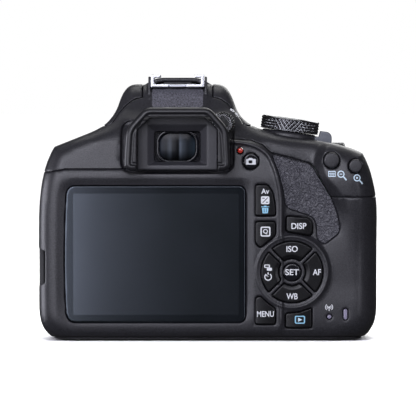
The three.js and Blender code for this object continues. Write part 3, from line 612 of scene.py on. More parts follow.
def screen_glass(name, reflection):
    """A polished dark cover with a cool reflection and faint smears."""
    material, tree, principled = shader(
        name, Roughness=0.14, IOR=1.7, Specular_IOR_Level=reflection, Specular_Tint=(0.88, 1.0, 1.15, 1)
    )
    smear = texture(tree, "ShaderNodeTexNoise", 60, Detail=3.0)
    colours = (0.002, 0.003, 0.004, 1), (0.004, 0.005, 0.007, 1)
    paint(tree, principled, smear.outputs["Fac"], colours, (0.13, 0.15))
    return material


def eyepiece_glass():
    """Coated glass over the finder's prism, with painted reflections: bright bands painted into the base
    colour left and right of the middle stand in for two lit prism faces, and painted shade darkens them
    towards the top and bottom.
    """
    material, tree, principled = shader("eyepiece_coating_painted_glints", Roughness=0.2, Specular_IOR_Level=0.12)
    place = tree.nodes.new("ShaderNodeTexCoord")
    shift = tree.nodes.new("ShaderNodeMapping")
    shift.inputs["Location"].default_value = (-EYE_X / 14 + 0.5, 0, -74 / 11)
    shift.inputs["Scale"].default_value = (1 / (14 * MM), 0, 1 / (11 * MM))
    split = tree.nodes.new("ShaderNodeSeparateXYZ")
    tree.links.new(place.outputs["Object"], shift.inputs["Vector"])
    tree.links.new(shift.outputs["Vector"], split.inputs["Vector"])
    # Painted reflection: the base colour is dark with bright bands across the glass, standing in for glints
    # of light off the prism behind it.
    painted_glints = ramp(tree, split.outputs["X"], (0.02, 0.025, 0.035, 1), (0.02, 0.03, 0.04, 1), 0.02, 0.98)
    glint_stops = ((0.2, 0.02), (0.3, 0.07), (0.37, 0.015), (0.53, 0.004), (0.57, 0.12), (0.64, 0.06), (0.78, 0.02))
    for position, value in glint_stops:
        stop = painted_glints.color_ramp.elements.new(position)
        stop.color = (value * 0.85, value, value * 1.2, 1)
    height = tree.nodes.new("ShaderNodeMath")
    height.operation = "ABSOLUTE"
    tree.links.new(split.outputs["Z"], height.inputs[0])
    # Painted shade: the painted bands darken towards the top and bottom of the glass.
    painted_edge_shade = ramp(tree, height.outputs["Value"], (1, 1, 1, 1), (0.12, 0.12, 0.12, 1), 0.12, 0.42)
    mix = tree.nodes.new("ShaderNodeMix")
    mix.data_type = "RGBA"
    mix.blend_type = "MULTIPLY"
    mix.inputs["Factor"].default_value = 1.0
    tree.links.new(painted_glints.outputs["Color"], mix.inputs["A"])
    tree.links.new(painted_edge_shade.outputs["Color"], mix.inputs["B"])
    tree.links.new(mix.outputs["Result"], principled.inputs["Base Color"])
    return material


def make_materials():
    LOOKS.update({
        "casing": moulded("casing_plastic", 0.022, 0.4, depth=0.03, sparkle=0.45),
        "panel": moulded("panel_plastic", 0.1, 0.5, grain=0.3, depth=0.05, sparkle=0.7),
        "rubber_pad": moulded("thumb_rest_grain", 0.07, 0.4, grain=0.3, depth=0.02, sparkle=0.5),
        "rubber": grained_rubber("grip_rubber_grain", 0.03, 1.3, 0.35),
        "soft": moulded("eyecup_rubber", 0.012, 0.4, grain=0.2, depth=0.006, sparkle=0.15),
        "button": moulded("button_plastic", 0.005, 0.3, grain=0.25, depth=0.008, sparkle=0.2, shine=0.28),
        "gloss": lacquer("gloss_black", (0.008, 0.008, 0.011), 0.12),
        "dark": moulded("inner_plastic", 0.012, 0.6, grain=0.3, depth=0.02),
        "frame": moulded("finder_plastic", 0.036, 0.45, grain=0.25, depth=0.01, sparkle=0.2),
        "screen": screen_glass("screen_border", 0.42),
        "display": screen_glass("screen_active", 0.8),
        "lens": eyepiece_glass(),
        "optic": lacquer("optical_glass", (0.02, 0.025, 0.035), 0.06, coat=1.0),
        "chrome": metal("plated_steel", (0.72, 0.73, 0.76), 0.3, 0.06),
        "steel": metal("dull_steel", (0.42, 0.43, 0.46), 0.38, 0.08),
        "knurl": lacquer("dial_metal", (0.24, 0.243, 0.25), 0.16, wear=0.1, metallic=1.0),
        "gold": metal("gold_contacts", (0.85, 0.62, 0.28), 0.25),
        "mirror": metal("mirror_silver", (0.9, 0.92, 0.94), 0.03, 0.0),
        "board": lacquer("board_green", (0.01, 0.09, 0.04), 0.4, coat=0.5),
        "sensor": lacquer("sensor_filter", (0.03, 0.07, 0.11), 0.08, coat=1.0),
        "cell": lacquer("battery_shell", (0.02, 0.02, 0.022), 0.45),
        "card": lacquer("card_shell", (0.03, 0.045, 0.1), 0.45),
        "red": lacquer("red_lamp", (0.75, 0.05, 0.03), 0.25, coat=0.6),
        "diffuser": lacquer("flash_diffuser", (0.5, 0.52, 0.54), 0.25, coat=0.5),
        "lamp": lacquer("grey_lamp", (0.26, 0.24, 0.33), 0.3, coat=0.4),
        "white": lacquer("white_print", (0.8, 0.82, 0.84), 0.5, wear=0.04),
        "blue": lacquer("blue_print", (0.3, 0.62, 0.82), 0.5, wear=0.04),
        "pale": lacquer("pale_print", (0.66, 0.82, 0.92), 0.5, wear=0.04),
        "tab": lacquer("switch_grey", (0.13, 0.14, 0.16), 0.35),
    })


# ---------------------------------------------------------------- camera, light and floor
def add_camera():
    camera = new_object("camera", bpy.data.cameras.new("camera"))
    bpy.context.scene.camera = camera
    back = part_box("rear_cover")[0][1]
    target = Vector((0, back, 0.0508))
    distance, elevation = 1.7, math.radians(1.6)
    camera.location = target + distance * Vector((0, -math.cos(elevation), math.sin(elevation)))
    camera.rotation_euler = (math.pi / 2 - elevation, 0, 0)
    lens = camera.data
    lens.sensor_width = 36
    width_in_view = 0.1576
    lens.lens = 36 * distance / width_in_view


def add_area(name, place, target, size, power, colour=(1, 1, 1)):
    lamp = bpy.data.lights.new(name, "AREA")
    lamp.shape = "RECTANGLE"
    lamp.size, lamp.size_y = size
    lamp.energy = power
    lamp.color = colour
    obj = new_object(name, lamp)
    obj.location = place
    obj.rotation_euler = (Vector(target) - Vector(place)).to_track_quat("-Z", "Y").to_euler()
    obj.visible_camera = False


def add_studio():
    world = bpy.data.worlds.new("studio")
    bpy.context.scene.world = world
    world.use_nodes = True
    tree = world.node_tree
    background = tree.nodes["Background"]
    rays = tree.nodes.new("ShaderNodeLightPath")
    strength = tree.nodes.new("ShaderNodeMapRange")
    strength.inputs["To Min"].default_value = 0.06
    strength.inputs["To Max"].default_value = 1.0
    tree.links.new(rays.outputs["Is Camera Ray"], strength.inputs["Value"])
    tree.links.new(strength.outputs["Result"], background.inputs["Strength"])
    background.inputs["Color"].default_value = (1, 1, 1, 1)
    bpy.context.scene.view_settings.view_transform = "Standard"

    cool = (0.97, 0.97, 1.1)
    centre = (0, 0, 0.05)
    add_area("left_softbox", (-0.59, -0.9, 0.2), (-0.49, 0, 0.1), (1.0, 0.56), 6.2, cool)
    add_area("rear_top_softbox", (-0.1, -0.95, 0.45), centre, (1.0, 0.24), 4.6, cool)
    add_area("right_strip", (0.62, -0.75, 0.2), centre, (0.14, 0.6), 1.6, cool)
    add_area("left_rim", (-0.95, 0.1, 0.0), centre, (0.55, 0.5), 7, cool)
    add_area("top_softbox", (0, 0.35, 1.1), centre, (0.8, 0.5), 3.2)
    add_area("front_softbox", (0.35, 1.3, 0.75), centre, (0.9, 0.7), 6.5)

    floor_mesh = bpy.data.meshes.new("floor")
    reach = 12.0
    corners = [(-reach, -reach, 0), (reach, -reach, 0), (reach, reach, 0), (-reach, reach, 0)]
    floor_mesh.from_pydata(corners, [], [(0, 1, 2, 3)])
    floor = new_object("floor", floor_mesh)
    floor_mesh.materials.append(lacquer("floor_paper", (0.97, 0.97, 0.97), 0.95, wear=0.01))
    # The paper would fill the camera's sides with light from below, which a studio keeps off.
    floor.visible_glossy = False
    floor.visible_diffuse = False
    overhead = bpy.data.lights.new("floor_light", "SUN")
    overhead.energy = 3.7
    overhead.angle = math.radians(80)
    lamp = new_object("floor_light", overhead)
    lit = bpy.data.collections.new("floor_only")
    lit.objects.link(floor)
    lamp.light_linking.receiver_collection = lit


# ---------------------------------------------------------------- casings
def shell(x, y, z):
    form = body_field(x, y, z)
    return form, np.maximum(form, -(form + WALL))


def make_rear_cover():
    notch_outline = soft_corners([(-28, 23.4), (-12, 19.8), (-12, 36.6), (-28, 33)], 1)

    def field(x, y, z):
        form, cover = shell(x, y, z)
        notch = outline_distance(notch_outline, y, z)
        backing = both(form, notch - 1.5, np.abs(x + 61.2) - 0.8, y + 12.4)
        cover = both(either(cover, backing), rear_zone(x, y, z) + GAP)
        cover = without(cover, terminal_zone(x, y, z) - GAP, both(notch, x + 61.9))
        return both(cover, BUTTON_GAP - button_holes(x, z) + 0 * y)

    low, high = (-66, -28.5, 1.5), (66, -7, 78.5)
    carve("rear_cover_shell", field, low, high, STEP * 0.75, "casing", "body", "rear_cover", flatten=0.05)


def make_top_cover():
    wheel_x, wheel_y, wheel_z = middle("main_dial")
    finder_outline = rectangle(EYE_X - 15.4, EYE_X + 15.4, 65, 85.4, 1)

    def field(x, y, z):
        form, cover = shell(x, y, z)
        side = np.abs(x - LENS_X)
        raised = side > 10.7
        housing = side - CHANNEL + GAP
        flash = flash_zone(x, y, z) - GAP
        cover = without(cover, rear_zone(x, y, z) - GAP, front_zone(x, y, z) - GAP, flash)
        cover = both(cover, BASE_Z + 20 - z, z - 96.3 - 1.2 * raised)
        inside = both(form, z - 95.9 - 1.4 * raised)
        shoe_floor = both(inside, 94.4 - z, housing)
        pocket_floor = both(form, np.abs(z - 86.8) - 1.6, side - 26, -15 - y)
        wall = both(np.abs(side - CHANNEL + 0.8) - 0.7, inside, 86 - z)
        front = both(np.abs(y - 14.7) - 0.9, inside, housing, 86 - z)
        rib = both(np.abs(side - 10.8) - 0.42, np.abs(y + 1.5) - 10.3, np.abs(z - 97) - 3.6)
        cover = either(cover, shoe_floor, pocket_floor, wall, front, rib)
        finder = both(outline_distance(finder_outline, x, z), y + 19)
        knob = both(np.hypot(x - KNOB_X, z - KNOB_Z) - 4.9, y + 19.2)
        well = both(np.hypot(y - wheel_y, z - wheel_z) - 8.4, np.abs(x - wheel_x) - 4)
        shutter = deck_radius(x, y, z, SHUTTER) - 5.3
        flash_key = deck_radius(x, y, z, FLASH_KEY) - 2.65
        lug = both(57.3 - np.abs(x), np.abs(y) - 5, np.abs(z - 68.9) - 3)
        cover = without(cover, flash, finder, knob, well, shutter, flash_key, lug)
        return both(cover, BUTTON_GAP - np.where(y < -15, button_holes(x, z), 1.0))

    low, high = (-66, -29, 53), (66, 38, 102)
    carve("top_cover_shell", field, low, high, STEP, "casing", "body", "top_cover", flatten=0.05)

    panel_outline = rectangle(LENS_X - 9.8, LENS_X + 9.8, 88.9, 96.1, 0.6)

    def panel(x, y, z):
        form = body_field(x, y, z)
        return both(form - 0.12, -(form + 0.5), outline_distance(panel_outline, x, z), y + 4)

    low, high = (LENS_X - 11, -22, 87.5), (LENS_X + 11, -8, 98)
    carve("finder_panel", panel, low, high, 0.25, "panel", "body")


def make_front_cover():
    def field(x, y, z):
        form, cover = shell(x, y, z)
        grip = grip_skin_zone(x, y, z)
        skin = both(-(form + 1.05), grip - GAP)
        core = both(form + 1.05, -(form + 2.4), grip - 1)
        cover = both(either(without(cover, skin), core), front_zone(x, y, z) + GAP)
        throat = np.hypot(x - LENS_X, z - LENS_Z) - 29.3 + 0 * y
        release = both(np.hypot(x - RELEASE_X, z - RELEASE_Z) - 5.9, 10 - y)
        lamp = both(np.hypot(x - 30, z - 59) - 2.6, 5 - y)
        pin = both(np.hypot(x - PIN_X, z - LENS_Z) - 1.6, 5 - y)
        shutter = deck_radius(x, y, z, SHUTTER) - 5.3
        return without(cover, throat, release, lamp, pin, shutter, terminal_zone(x, y, z) - GAP)

    low, high = (-66, -9, 1.5), (66, 40, 84)
    carve("front_cover_shell", field, low, high, STEP, "casing", "body", "front_cover", flatten=0.08)

    def skin(x, y, z):
        form = body_field(x, y, z)
        return both(form, -(form + 0.95), grip_skin_zone(x, y, z) + GAP)

    carve("grip_skin", skin, (35, 3, 4), (66, 40, 61), STEP * 0.75, "rubber", "body", "grip_rubber")

    def flap(x, y, z):
        return both(body_field(x, y, z), -(x + 64.5) - 4, terminal_zone(x, y, z) + GAP + 0.1)

    low, high = (-66, -15, 13), (-61, 8, 52)
    carve("terminal_flap", flap, low, high, STEP * 0.75, "soft", "terminal_cover", "terminal_cover")


def make_base():
    door = rectangle(37.5, 56, -8.5, 28.5, 2)
    slot = rectangle(38.2, 45.3, 5.7, 14.3, 0.5)

    def plate(x, y, z):
        base = both(body_field(x, y, z), z - BASE_Z + 2 * GAP)
        return without(base, outline_distance(door, x, y) - 0.2, np.hypot(x - LENS_X, y - 2) - 6.3 + 0 * z)

    def lid(x, y, z):
        base = both(body_field(x, y, z), z - 2.2, outline_distance(door, x, y))
        return without(base, both(outline_distance(slot, x, y), z - 1.5))

    fine = STEP * 0.75
    low, high = (-66, -26, -1), (66, 40, 4)
    carve("base_shell", plate, low, high, fine, "casing", "body", "bottom_plate", flatten=0.05)
    low, high = (36, -10, -1), (58, 30, 4)
    carve("battery_lid", lid, low, high, fine, "casing", "battery_door", "battery_door", flatten=0.05)


def make_flash():
    port_outline = rectangle(LENS_X - 13.2, LENS_X + 13.2, 21.6, 33, 1)

    def field(x, y, z):
        form = body_field(x, y, z)
        head = both(form, -(form + 1.7), flash_zone(x, y, z) + GAP + 0.05)
        return without(head, both(outline_distance(port_outline, x, y), z - 86))

    low, high = (-44, -20, 79), (22, 40, 102)
    carve("flash_shell", field, low, high, STEP * 0.875, "casing", "flash_head", "flash_head", flatten=0.05)


# ---------------------------------------------------------------- back of the camera
def make_thumb_rest():
    def field(x, y, z):
        surface = rear_relief(x, z)
        along, across = x * 0.8 - z * 0.6, x * 0.6 + z * 0.8
        broad = noise(along * 0.7, across, 0.85, 3)
        small = noise(along, across * 1.2, 0.5, 5)
        folds = 1 - np.abs(broad + 0.55 * small) * 1.7
        top = surface - 0.12 - 0.4 * np.clip(folds, -0.4, 1) - y
        return both(rounded(outline_distance(THUMB_REST, x, z), top, 0.35), y - surface - 0.5)

    low, high = (23, -26, 35.5), (51.5, -19.5, 72.5)
    carve("thumb_rest_pad", field, low, high, FINE, "rubber_pad", "body", "thumb_rest_rubber")


def make_screen():
    def cover(x, y, z):
        return both(rounded(outline_distance(SCREEN, x, z), -24.15 - y, 0.2), y + 23)

    carve("screen_cover", cover, (-56, -25, 6), (16, -22.5, 60.5), 0.3, "screen", "body", "lcd_window")
    mark("screen_display", [rectangle(*ACTIVE, 0.2)], on_rear(0, -24.16, 0), "body", "display")


def sector(start, end, inner=5.1, outer=11.7, half_web=0.8):
    trim_out, trim_in = math.asin(half_web / outer), math.asin(half_web / inner)
    rim = arc(0, 0, outer, start + trim_out, end - trim_out, 14)
    hub = arc(0, 0, inner, end - trim_in, start + trim_in, 8)
    return rim + hub


QUARTER = math.pi / 4
BUTTONS = {
    # name: (centre, outline about the centre, corner radius, rear face, finish)
    "live_view_button": ((16.3, 68.5), circle(0, 0, 2.95), 0, -25.3, "gloss"),
    "exposure_button": (
        (21.8, 53.6),
        [(-3.8, -5.9), (3.8, -5.9), (3.7, -2), (2.8, 3), (0.8, 6), (-3.8, 6)],
        1.0, -25, "button",
    ),
    "quick_button": (
        (21.8, 41),
        [(-3.8, -3.6), (-2, -5.5), (3.8, -0.8), (3.8, 4.6), (-3.8, 4.6)],
        1.1, -25, "button",
    ),
    "menu_button": (
        (21.8, 11.4),
        [(-3.8, -5), (3.8, -5), (3.8, 1.2), (0.4, 3.6), (-2, 6), (-3.8, 5.2)],
        1.1, -25, "button",
    ),
    "disp_button": (
        (34.6, 44.1),
        [(-5, -2.3), (4, -3.9), (5, -2.6), (5, 1.2), (3.4, 3), (-4.9, 3.6)],
        1.1, -24.7, "button",
    ),
    "playback_button": (
        (34.4, 8.9),
        [(-5, -3.8), (5, -3.8), (5, 3.9), (3.8, 3.5), (0, 2.2), (-5, 1.8)],
        1.0, -24.7, "button",
    ),
    "set_button": ((PAD_X, PAD_Z), circle(0, 0, 3.35), 0, -25.5, "gloss"),
    "iso_key": ((PAD_X, PAD_Z), sector(QUARTER, 3 * QUARTER), 0.7, -25, "button"),
    "drive_key": ((PAD_X, PAD_Z), sector(3 * QUARTER, 5 * QUARTER), 0.7, -25, "button"),
    "wb_key": ((PAD_X, PAD_Z), sector(5 * QUARTER, 7 * QUARTER), 0.7, -25, "button"),
    "af_key": ((PAD_X, PAD_Z), sector(7 * QUARTER, 9 * QUARTER), 0.7, -25, "button"),
    "zoom_out_button": ((46.8, 68.9), circle(0, 0, 2.95), 0, -27.9, "casing"),
    "zoom_in_button": ((55.9, 66.7), circle(0, 0, 2.55), 0, -27.6, "casing"),
}


def button_outline(name):
    (x, z), points, corner, _, _ = BUTTONS[name]
    if corner:
        points = soft_corners(points, corner)
    return moved(points, x, z)


def button_holes(x, z):
    """Distance outside the nearest button, for cutting every button's hole."""
    holes = [outline_distance(button_outline(name), x, z) for name in BUTTONS]
    for (cx, cz), r in ((RECORDING_LAMP, 1.05), (WIRELESS_LAMP, 0.9)):
        holes.append(np.hypot(x - cx, z - cz) - r)
    return either(*holes, access_slot(x, z) - 0.8)


def access_slot(x, z):
    """Distance from the middle line of the upright access lamp."""
    return np.hypot(x - ACCESS_LAMP[0], np.maximum(np.abs(z - ACCESS_LAMP[1]) - 1.3, 0))


def make_buttons():
    for name, ((cx, cz), _, corner, top, look) in BUTTONS.items():
        points = button_outline(name)
        xs, zs = zip(*points)
        round_cap = corner == 0
        pad_key = name.endswith("_key")

        def field(x, y, z):
            outline = outline_distance(points, x, z)
            face = top + 0 * outline
            if round_cap:
                face = face + 0.016 * ((x - cx) ** 2 + (z - cz) ** 2)
            elif pad_key:
                face = face + 0.4 * smoothstep(6.9, 5.1, np.hypot(x - cx, z - cz))
            else:
                face = face + 0.012 * (x - cx) ** 2
            cap = both(rounded(outline, face - y, 0.55), y + 21)
            return either(cap, both(outline - 0.5, np.abs(y + 21.1) - 0.4))

        low = (min(xs) - 1, top - 1, min(zs) - 1)
        high = (max(xs) + 1, -20, max(zs) + 1)
        carve(name + "_cap", field, low, high, FINE, look, name, name)


def make_lamps():
    dome = [(0, 3.2), (1.0, 3.2), (1.0, 0.4), (0.85, 0.14), (0.55, 0.03), (0, 0)]
    place = to_front(RECORDING_LAMP[0], -24.95, RECORDING_LAMP[1])
    turned("recording_lamp_lens", dome, 24, place, "red", "body", "recording_lamp")
    place = to_front(WIRELESS_LAMP[0], -23.2, WIRELESS_LAMP[1]) @ Matrix.Diagonal((0.8, 0.8, 0.6, 1))
    turned("wireless_lamp_lens", dome, 24, place, "lamp", "body")

    def slot(x, y, z):
        return both(rounded(access_slot(x, z) - 0.72, rear_relief(x, z) - 0.1 - y, 0.3), y + 21)

    low, high = (51, -25.5, 7.8), (53.5, -20, 12.8)
    carve("access_lamp_lens", slot, low, high, 0.12, "lamp", "body", "access_lamp")


# ---------------------------------------------------------------- viewfinder
def make_viewfinder():
    def cup(x, y, z):
        u = x - EYE_X
        outline = outline_distance(EYECUP, u, z)
        opening = outline_distance(EYE_OPENING, u, z)
        groove = 0.55 * bump(outline + 2.6, 0.9) + 0.35 * smoothstep(-1.9, -3.4, outline)
        form = both(rounded(outline, -38.6 + groove - y, 1.7), y + 27.7)
        form = both(form, -rounded(opening + 0.3, -(y + 60), 0.2), -38.3 - opening - y)
        low_sill = both(np.abs(u) - 15.6, z - 67.5, -31.5 - y)
        return without(form, low_sill, both(np.abs(u) - 15.7, z - 86.2, -28.5 - y))

    low, high = (EYE_X - 21.5, -39.8, 63.5), (EYE_X + 21.5, -26.8, 90)
    carve("eyecup_rubber", cup, low, high, 0.2, "soft", "eyecup", "eyecup")

    plate = soft_corners(symmetric([(15.2, 65.3), (15.2, 80.6), (10.6, 85.2)]), 0.8)
    window = rectangle(-8.8, 8.8, 68.2, 79.9, 0.8)

    def finder(x, y, z):
        u = x - EYE_X
        face = both(outline_distance(plate, u, z), np.abs(y + 27.5) - 0.7)
        tube = both(np.abs(u) - 13, np.abs(z - 74) - 7.4, np.abs(y + 23.5) - 3.5)
        depth = y + 28.2
        funnel = both(np.abs(u) - 11.4 + depth * 1.3, z - 82.3 + depth * 1.2, 67 - z + depth * 0.6)
        return without(either(face, tube), funnel, outline_distance(window, u, z))

    low, high = (EYE_X - 16, -29, 64.5), (EYE_X + 16, -19.5, 86)
    carve("finder_frame", finder, low, high, 0.2, "frame", "body", "viewfinder_frame", flatten=0.05)

    eye_z = middle("eyepiece_lens")[2]
    glass = soft_corners(symmetric([(4.6, -5.2), (6.9, -3), (6.9, 3), (4.6, 5.2)]), 2.2)

    def lens(x, y, z):
        u, v = x - EYE_X, z - eye_z
        crown = -24.6 + (u * u + v * v) * 0.022
        return both(rounded(outline_distance(glass, u, v), crown - y, 0.3), y + 22.2)

    low, high = (EYE_X - 8, -25.5, eye_z - 6.5), (EYE_X + 8, -21.5, eye_z + 6.5)
    carve("eyepiece_glass", lens, low, high, 0.12, "lens", "body", "eyepiece_lens")

    surround = rectangle(-8.9, 8.9, 68.3, 79.8, 0.8)

    def rim(x, y, z):
        u, v = x - EYE_X, z - eye_z
        outline = outline_distance(glass, u, v)
        ring = both(0.1 - outline, rounded(outline - 1.1, -24.9 - y, 0.4))
        back = both(outline_distance(surround, u, z), 0.1 - outline, -23.6 - y)
        return both(either(ring, back), y + 21.5)

    low, high = (EYE_X - 10, -26, 67.4), (EYE_X + 10, -21, 80.6)
    carve("eyepiece_rim", rim, low, high, 0.15, "gloss", "body")

    def ticks(angle, height):
        return 0.3 * np.cos(26 * angle) * (height > 0.12) * (height < 3.4)

    node = "diopter_knob"
    x, _, z = middle(node)
    place = to_front(x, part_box(node)[0][1] / MM, z)
    wheel = [(0, 0.5), (2.6, 0.5), (2.9, 0.15), (3.3, 0.1), (4.35, 0.9), (4.35, 3.4)]
    wheel += [(1.2, 3.5), (1.2, 6), (0, 6)]
    turned("diopter_wheel", dense(wheel, 0.2), 312, place, "knurl", node, node, swell=ticks)


# ---------------------------------------------------------------- top controls
def dial_place():
    return at(*DIAL, DIAL_LEAN, "Y")


def make_mode_dial():
    rim, foot = 11.15, 1.6
    seat = DIAL_TOP - 0.3
    teeth, tooth_height = 42, 1.05

    def knurl(angle, height):
        turns = teeth / (2 * math.pi)
        up = (height - foot) / tooth_height
        a = np.abs(((angle * turns + up / 2) % 1) - 0.5)
        b = np.abs(((angle * turns - up / 2) % 1) - 0.5)
        return (1.2 * np.minimum(a, b) - 0.55) * (height > 1.75) * (height < 5.75)

    wheel = [(0, -5), (3, -5), (3, 1.45), (10.3, 1.45), (rim - 0.2, foot)]
    wheel += [(rim, foot + 0.1 * i) for i in range(1, 44)]
    wheel += [(rim - 0.25, 6.2), (rim - 0.8, DIAL_TOP), (rim - 1.1, DIAL_TOP), (rim - 1.1, seat), (0, seat)]
    turned("mode_dial_wheel", wheel, 840, dial_place(), "knurl", "mode_dial", "mode_dial", swell=knurl)

    edge = rim - 1.15
    disc = [(0, seat), (edge, seat), (edge, DIAL_TOP - 0.1), (rim - 1.3, DIAL_TOP), (0, DIAL_TOP)]
    turned("mode_dial_disc", dense(disc, 0.8), 96, dial_place(), "button", "mode_dial")

    ring = [(3.4, -1.6), (10.6, -1.6), (10.5, 0.4), (10.1, 1.1), (9.6, 1.3), (3.4, 1.3), (3.4, -1.6)]
    turned("power_ring", dense(ring, 0.6), 128, dial_place(), "casing", "power_switch")

    lever = ((16.6, -1.4), (16.9, 1.6, 16, 3.2, 14.2, 3.2), (11.8, 3.2), (11.5, 0.9), (9.8, 0.9))
    lever = path((9.8, -1.4), *lever)

    def tab(x, y, z):
        u, w = x - DIAL[0], z - DIAL[2]
        along = u * math.cos(DIAL_LEAN) - w * math.sin(DIAL_LEAN)
        up = u * math.sin(DIAL_LEAN) + w * math.cos(DIAL_LEAN)
        return rounded(outline_distance(lever, along, up), np.abs(y - DIAL[1]) - 3.4, 0.6)

    low, high = (39.5, -9.5, 73), (49, -0.5, 82)
    carve("power_tab", tab, low, high, FINE, "tab", "power_switch", "power_switch")


def make_grip_controls():
    def ribs(angle, height):
        return 0.3 * np.sign(np.cos(28 * angle)) * (np.abs(height) < 3.1)

    def on_deck(spot):
        return at(*spot, deck_height(spot[1]), -GRIP_SLOPE)

    wheel = dense([(0, -3.5), (6.6, -3.5), (7.3, -3.2), (7.3, 3.2), (6.6, 3.5), (0, 3.5)], 0.3)
    place = at(*middle("main_dial"), math.pi / 2, "Y")
    turned("main_wheel", wheel, 336, place, "knurl", "main_dial", "main_dial", swell=ribs)

    cap = [(0, -4.6), (5.8, -4.6), (5.8, -3.4), (5, -3.4), (5, 0.7)]
    cap += [(4.7, 1.3), (4.1, 1.55), (3, 1.35), (0, 1.1)]
    cap, place = dense(cap, 0.4), on_deck(SHUTTER)
    turned("shutter_release", cap, 72, place, "gloss", "shutter_button", "shutter_button")
    collar = [(5.35, -2.2), (7.2, -2.2), (7.4, 0.25), (6.9, 0.7), (5.8, 0.6), (5.35, 0.2), (5.35, -2.2)]
    turned("shutter_collar", dense(collar, 0.4), 72, place, "steel", "body")
    key = [(0, -4.4), (3.1, -4.4), (3.1, -3.4), (2.4, -3.4), (2.4, 0.3), (2.1, 0.65), (1.4, 0.75), (0, 0.78)]
    key, place = dense(key, 0.4), on_deck(FLASH_KEY)
    turned("flash_release", key, 48, place, "button", "flash_button", "flash_button")


def make_shoe():
    (_, y0, base_z), (_, y1, _) = ([v / MM for v in corner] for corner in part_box("accessory_shoe"))
    half = [(10.2, 0), (10.2, 4.8), (6.5, 4.8), (6.5, 3.6), (8.9, 3.6), (8.9, 1.2)]
    profile = soft_corners(symmetric(half), 0.35, 3)

    def field(x, y, z):
        section = outline_distance(profile, x - LENS_X, z - base_z)
        rails = rounded(section, both(y0 - y, y - y1), 0.25)
        return without(rails, both(np.abs(x - LENS_X) - 3.4, y - y0 - 4))

    low = (LENS_X - 11, y0 - 0.8, base_z - 0.8)
    high = (LENS_X + 11, y1 + 0.8, base_z + 5.6)
    carve("shoe_rails", field, low, high, FINE, "chrome", "body", "accessory_shoe")

    def latch(x, y, z):
        section = rounded(np.abs(x - LENS_X) - 3.1, np.abs(z - base_z - 0.55) - 0.55, 0.2)
        return rounded(section, np.abs(y + 10.6) - 2.1, 0.2)

    low, high = (LENS_X - 4, -13.4, base_z - 0.6), (LENS_X + 4, -7.8, base_z + 1.8)
    carve("shoe_latch", latch, low, high, FINE, "steel", "body")


# ---------------------------------------------------------------- lens mount and small metal parts
def round_mount(radius, angle):
    """X and Z of a point on a circle round the optical axis."""
    return LENS_X + radius * math.cos(angle), LENS_Z + radius * math.sin(angle)


def make_mount():
    throat, ring = 27.0, 32.4
    screws = [round_mount(SCREW_CIRCLE, math.pi / 4 + k * math.pi / 2) for k in range(4)]

    def field(x, y, z):
        radius = np.hypot(x - LENS_X, z - LENS_Z)
        angle = np.arctan2(z - LENS_Z, x - LENS_X)
        flange = rounded(both(radius - ring, throat - radius), both(y - FLANGE, FLANGE - 2 - y), 0.35)
        sleeve = both(radius - throat - 1.9, throat - radius, y - FLANGE + 0.2, 26.4 - y)
        turn = np.abs(((angle - math.pi / 2) * 3 / (2 * math.pi) + 0.5) % 1 - 0.5) * 2 * math.pi / 3
        claw = both(radius - throat - 0.5, 25.1 - radius)
        claw = rounded(claw, both(np.abs(y - 30.6) - 0.9, (turn - 0.5) * 26), 0.3)
        form = either(flange, sleeve, claw)
        for cx, cz in screws:
            form = without(form, both(np.hypot(x - cx, z - cz) - 1.5, FLANGE - 0.7 - y))
        return without(form, np.hypot(x - PIN_X, z - LENS_Z) - 1.5 + 0 * y)

    low, high = (LENS_X - 33.5, 25.8, LENS_Z - 33.5), (LENS_X + 33.5, 33, LENS_Z + 33.5)
    carve("bayonet_ring", field, low, high, STEP * 0.75, "chrome", "body", "lens_mount_ring", flatten=0.02)

    head = [(0, -0.6), (1.35, -0.6), (1.35, 0), (1.1, 0.2), (0.5, 0.15), (0.5, -0.2), (0, -0.2)]
    for k, (x, z) in enumerate(screws):
        turned(f"mount_screw_{k + 1}", head, 24, to_front(x, FLANGE - 0.15, z), "steel", "body")

    pin = [(0, 0), (0.7, 0), (0.7, 1.2), (0.45, 1.6), (0, 1.7)]
    for k in range(8):
        x, z = round_mount(24.9, 1.5 * math.pi + (k - 3.5) * 0.095)
        turned(f"contact_pin_{k + 1}", pin, 20, to_front(x, 28.8, z), "gold", "body")


def make_fittings():
    cap = [(0, 0), (6.2, 0), (6.2, 1), (5.6, 1), (5.6, 6.3), (5.2, 7), (4.6, 7.3), (2.5, 7.0), (0, 6.85)]
    node = "lens_release_button"
    place = to_front(RELEASE_X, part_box(node)[0][1] / MM, RELEASE_Z)
    turned("release_cap", dense(cap, 0.4), 72, place, "button", node, node)

    bush = [(6, 0.15), (6, 0.1), (6, 2.8), (7.5, 2.8), (7.5, 9)]
    bush += [(3.1 + 0.25 * (i % 2), 9 - 0.4 * i) for i in range(22)]
    bush += [(3.3, 0.15), (6, 0.15)]
    turned("tripod_bush", bush, 64, at(LENS_X, 2, 0), "steel", "body", "tripod_socket")

    for node in ("strap_lug_left", "strap_lug_right"):
        cx, cy, cz = middle(node)
        half_x, half_y, half_z = ((b - a) / 2 / MM for a, b in zip(*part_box(node)))

        def lug(x, y, z):
            run, rise = np.abs(y - cy) - half_y, np.abs(z - cz) - half_z
            loop = rounded(rounded(np.abs(x - cx) - half_x, rise, 0.5), run, 0.5)
            loop = without(loop, both(rise + 0.8, run + 1))
            return both(loop, outline_distance(SILHOUETTE, x, z) + 0.4)

        low, high = (cx - 3, cy - 5.5, cz - 3.4), (cx + 3, cy + 5.5, cz + 3.4)
        carve(node + "_plate", lug, low, high, FINE, "steel", "body", node)


# ---------------------------------------------------------------- printed marks
def on_rear(x, y, z):
    """Places a flat drawing, in XY, at a point in millimetres, facing the rear."""
    return at(x, y, z, math.pi / 2)


